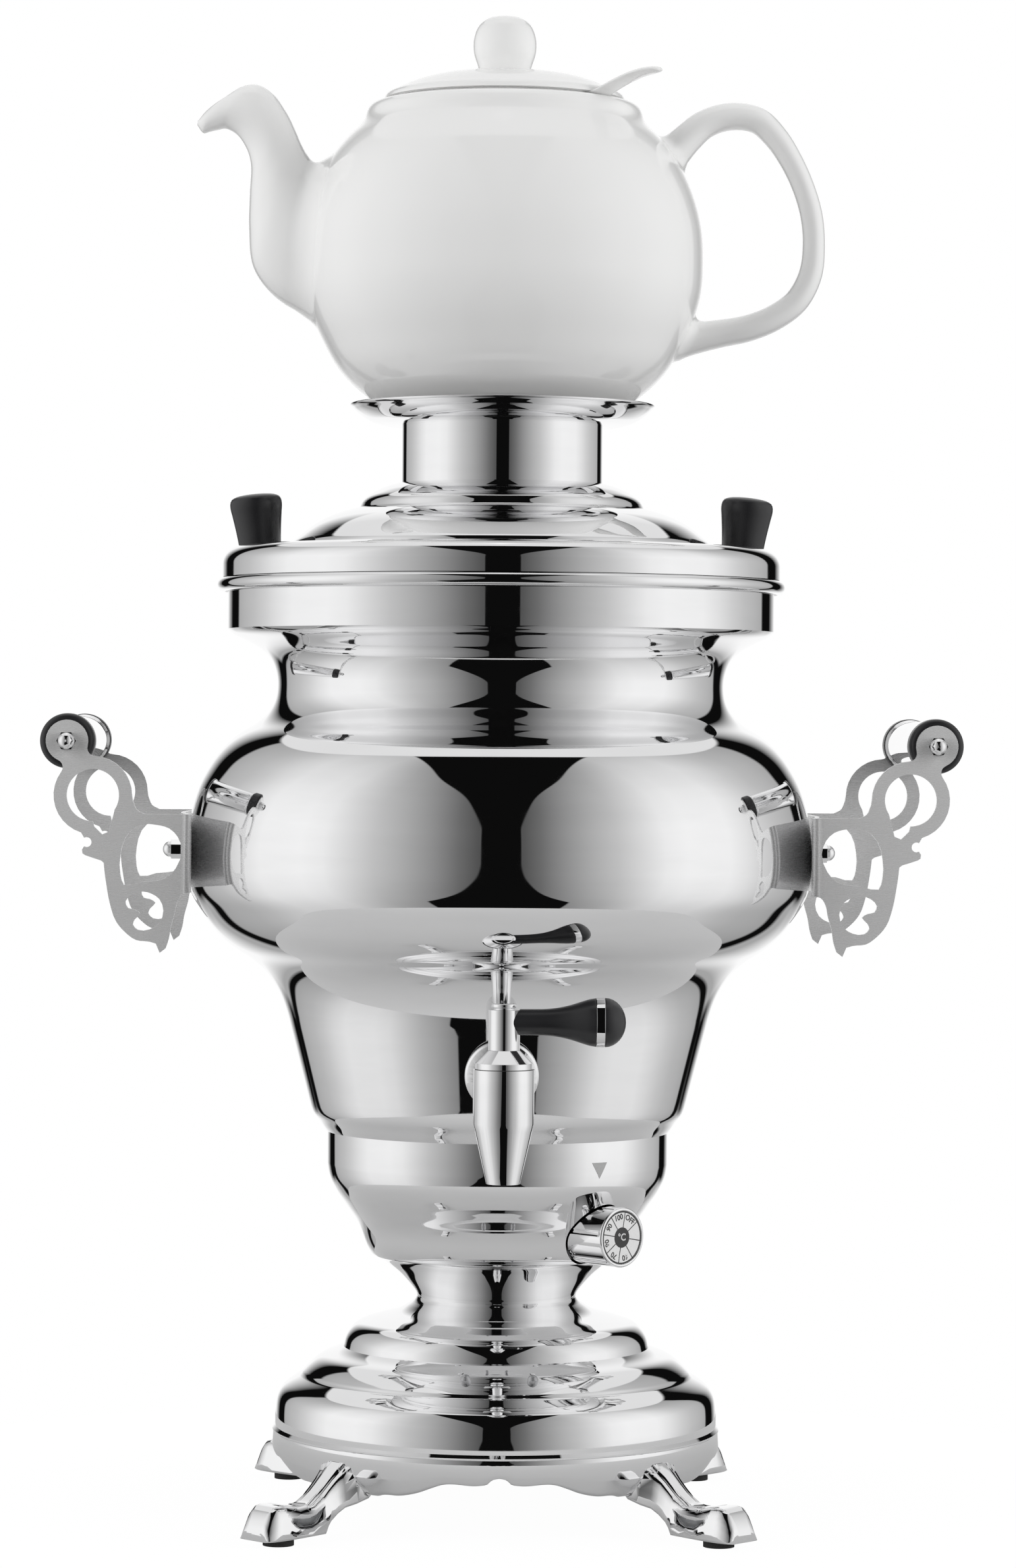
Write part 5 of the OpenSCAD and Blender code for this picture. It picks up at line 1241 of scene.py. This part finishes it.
    def opened(self, skin):
        """The spout hollow, its mouth open along the top of the beak"""
        wall, first, last, mouth, rings = 2.3, 10, 97, 77, []
        for i, (mid, up, half_w) in list(enumerate(self.sections()))[first:last]:
            share = wall / np.linalg.norm(up)
            lift = 1 - share + 2.4 * share * min(1.0, max(0.0, (i - mouth) / 5))
            ring = []
            for a in np.arange(48) * math.pi / 24:
                c = math.cos(a) * (lift if math.cos(a) > 0 else 1 - share)
                ring.append((-mid[0] - up[0] * c, (half_w - wall) * math.sin(a), mid[1] + up[1] * c))
            rings.append(ring)
        obj = carved(piece("spout", skin, glazed_porcelain()), in_metres(lofted(rings)))
        points = [tuple(v.co) for v in obj.data.vertices]
        faces = [tuple(p.vertices) for p in obj.data.polygons]
        bpy.data.objects.remove(obj)
        return points, faces

    def handle(self, outside):
        """Handle whose two ends meet the body"""
        table = curve(np.array(HANDLE_SHARES) * (POT_R, POT_H, POT_R, POT_R))
        rings, middles = [], []
        for i, (r, z, half_t, half_w) in enumerate(table):
            ahead = table[min(i + 1, len(table) - 1)] - table[max(i - 1, 0)]
            n = np.array((-ahead[1], ahead[0])) / math.hypot(ahead[0], ahead[1]) * half_t
            rings.append([
                (r + n[0] * math.cos(a), -half_w * math.sin(a), z + n[1] * math.cos(a))
                for a in np.arange(40) * math.pi / 20
            ])
            middles.append((r, 0, z))
        return self.limb(rings, middles, outside, sizes().porcelain_fillet / MM * 0.6, True)

    def lid(self):
        """Domed lid with its knob and the rim that sits in the mouth"""
        dome_r, dome_h, knob_r, knob_h, inner, outer, deep = 39.8, 9.2, 10.5, 18.8, 29.4, 31.8, 7
        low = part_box("teapot_lid")[0].z / MM + deep
        dome = curve(np.array(POT_LID_SHARES) * (dome_r, dome_h))
        knob = curve(np.array(POT_KNOB_SHARES) * (knob_r, knob_h)) + (0, dome_h)
        outline = joined(
            [(0, 0), (inner, 0), (inner, -deep), (outer, -deep), (outer, 0), (dome_r - 1, 0)],
            smooth_line(dome, 0.5), smooth_line(knob, 0.6),
        )
        skin = turned(outline + (0, low), 160, closed=False)
        obj = piece("teapot_lid_skin", skin, glazed_porcelain(), 45)
        place(obj, "pot_lid", "porcelain", "teapot_lid")


class SAMOVAR_OT_fittings(PieceOperator, bpy.types.Operator):
    """Finishes the solids that are shown as they are"""

    bl_idname = "samovar.fittings"
    bl_label = "Fittings"

    def execute(self, context):
        for node, obj in frame["nodes"].items():
            obj.data.materials.clear()
            obj.data.materials.append(FINISH_OF_SLOT[slot_of_node(node)]())
        return {"FINISHED"}


class SAMOVAR_OT_stage(PieceOperator, bpy.types.Operator):
    """Sets the floor, the light and the camera"""

    bl_idname = "samovar.stage"
    bl_label = "Stage"

    def execute(self, context):
        context.scene.view_settings.view_transform = "Standard"
        self.floor()
        self.world(context)
        self.lamps()
        self.camera(context)
        return {"FINISHED"}

    def floor(self):
        """Pale round table top whose edge shows in the belly"""
        radius = 265
        points, faces = turned([(radius, 0), (0, 0)], 96, closed=False)
        mesh = bpy.data.meshes.new("floor")
        mesh.from_pydata(points, [], faces)
        mesh.materials.append(material("table_white", self.table))
        linked("floor", mesh)

    def table(self, tree, colours):
        """Paint, a little lighter at the edge, that the camera sees as white"""
        flat = tree.node("ShaderNodeSeparateXYZ", None, tree.coordinates())
        reach = (flat["X"] * flat["X"] + flat["Y"] * flat["Y"]) ** 0.5
        edge = tree.ramp(reach * 3.7 + tree.noise(3, 2) * 0.1, [(0.5, 0), (1, 1)])
        tint = tree.mix(edge, (0.46,) * 3, (0.58,) * 3)
        paint = tree.node("ShaderNodeBsdfDiffuse", None, Color=tint)
        white = tree.node("ShaderNodeEmission", None, Color=(1, 1, 1), Strength=1.05)
        rays = tree.node("ShaderNodeLightPath")
        seen = rays["Is Camera Ray"] * 0.93 + mirror_ray(rays) * 0.2
        both = tree.node("ShaderNodeMixShader", None, seen, paint, white)
        tree.node("ShaderNodeOutputMaterial", None, both)

    def world(self, context):
        """Two soft oval panels beside the camera, a light ceiling and a light back wall"""
        studio = context.scene.samovar_studio
        context.scene.world = bpy.data.worlds.new("studio")
        context.scene.world.use_nodes = True
        tree = Tree(context.scene.world.node_tree)
        where = tree.node("ShaderNodeTexCoord")["Generated"]
        split = tree.node("ShaderNodeSeparateXYZ", None, where)
        x, y, z = split["X"], split["Y"], split["Z"]
        elevation = maths("ARCSINE", z)
        azimuth = abs(maths("ARCTAN2", x, 0 - y)) + x * 0.06
        half_turns, height = azimuth / math.pi, elevation / math.pi + 0.5
        across = maths("MINIMUM", (azimuth - studio.panel_azimuth) / studio.panel_half_width, 0)
        up = (elevation - studio.panel_elevation) / studio.panel_half_height
        up = maths("MAXIMUM", up, -0.74)
        # The ovals, lower at the front than at the sides, with a dark gap between them at the front
        tall = tree.ramp(half_turns, [(0.42, 1), (0.5, 0.4)])
        oval = tree.ramp((across * across + up * up * tall) * 0.5, [(0.49, 1), (0.5, 0)])
        oval = oval * tree.ramp(azimuth, [(0.122, 0), (0.129, 1)])
        # Light of the ovals from the front to the back, and from below to above
        sideways = tree.ramp(half_turns, [
            (0.045, 0.09), (0.083, 0.16), (0.139, 0.31), (0.194, 0.45), (0.25, 0.58),
            (0.306, 0.75), (0.361, 0.92), (0.417, 0.98), (0.53, 0.96), (0.583, 0.84),
            (0.64, 0.68), (0.694, 0.57), (0.75, 0.5), (0.79, 0.44), (0.8, 0),
        ])
        upright = tree.ramp(height, [
            (0.14, 0.53), (0.25, 0.67), (0.36, 0.84), (0.47, 0.98), (0.58, 1), (0.69, 0.9),
            (0.75, 0.81), (0.86, 0.57),
        ])
        # A low light behind the samovar, and the ceiling
        low = tree.ramp(height, [(0.42, 0.4), (0.44, 0)])
        low = low * tree.ramp(half_turns, [(0.825, 0), (0.84, 1)])
        overhead = tree.ramp(y * 0.39 + z * 0.92, [(0.795, 0), (0.805, 0.8)])
        glow = maths("MAXIMUM", maths("MAXIMUM", oval * sideways * upright, low), overhead)
        light = tree.node("ShaderNodeBackground", None, Color=(1, 1, 1), Strength=glow + 0.004)
        white = tree.node("ShaderNodeBackground", None, Color=(1, 1, 1), Strength=1)
        rays = tree.node("ShaderNodeLightPath")
        behind = tree.ramp(half_turns, [(0.86, 0), (0.94, 1)])
        seen = maths("MAXIMUM", rays["Is Camera Ray"], mirror_ray(rays) * behind)
        both = tree.node("ShaderNodeMixShader", None, seen, light, white)
        tree.node("ShaderNodeOutputWorld", None, both)

    def lamps(self):
        """A soft lamp on each side of the camera, not seen in the chrome"""
        for side in (-1, 1):
            light = bpy.data.lights.new("soft_light", "AREA")
            light.shape = "RECTANGLE"
            light.size, light.size_y = 1.2, 1.4
            light.energy = 14.5
            lamp = linked("soft_light", light)
            lamp.location = (side * 1.5, -1.0, 0.75)
            aim = Vector((0, 0, 0.3)) - lamp.location
            lamp.rotation_euler = aim.to_track_quat("-Z", "Y").to_euler()
            lamp.visible_glossy = False

    def camera(self, context):
        """Camera in front of the samovar, a little above its middle"""
        studio = context.scene.samovar_studio
        data = bpy.data.cameras.new("camera")
        data.lens = studio.lens
        data.sensor_width = 36
        camera, aside = linked("camera", data), 0.00255
        spot = Vector((aside, -studio.camera_distance, studio.camera_height))
        camera.location = Matrix.Rotation(studio.camera_azimuth, 3, "Z") @ spot
        tilt, roll = math.radians(90 - 0.69), math.radians(-0.4)
        camera.rotation_euler = (tilt, roll, studio.camera_azimuth)
        context.scene.camera = camera


class SAMOVAR_PT_pieces(bpy.types.Panel):
    """Lists the pieces in the sidebar"""

    bl_idname = "SAMOVAR_PT_pieces"
    bl_label = "Samovar"
    bl_space_type = "VIEW_3D"
    bl_region_type = "UI"
    bl_category = "Samovar"

    def draw(self, context):
        for group in GROUPS:
            values = getattr(context.scene, group)
            box = self.layout.box()
            for name in values.__annotations__:
                box.prop(values, name)
        for operator in OPERATORS:
            self.layout.operator(operator.bl_idname)


OPERATORS = (
    SAMOVAR_OT_tank, SAMOVAR_OT_housing, SAMOVAR_OT_base, SAMOVAR_OT_legs, SAMOVAR_OT_tap,
    SAMOVAR_OT_handles, SAMOVAR_OT_knob, SAMOVAR_OT_lid, SAMOVAR_OT_teapot,
    SAMOVAR_OT_fittings, SAMOVAR_OT_stage,
)
GROUPS = {
    "samovar_sizes": SamovarSizes, "samovar_finishes": SamovarFinishes,
    "samovar_studio": SamovarStudio,
}
CLASSES = (*GROUPS.values(), *OPERATORS, SAMOVAR_PT_pieces)


def register():
    for cls in CLASSES:
        bpy.utils.register_class(cls)
    for name, group in GROUPS.items():
        setattr(bpy.types.Scene, name, PointerProperty(type=group))


def unregister():
    for name in GROUPS:
        delattr(bpy.types.Scene, name)
    for cls in reversed(CLASSES):
        bpy.utils.unregister_class(cls)


def main():
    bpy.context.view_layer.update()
    register()
    bpy.ops.samovar.fittings()
    bpy.ops.samovar.tank()
    bpy.ops.samovar.housing()
    bpy.ops.samovar.base()
    bpy.ops.samovar.legs()
    bpy.ops.samovar.tap()
    bpy.ops.samovar.handles()
    bpy.ops.samovar.knob()
    bpy.ops.samovar.lid()
    bpy.ops.samovar.teapot()
    bpy.ops.samovar.stage()


if __name__ == "__main__":
    main()
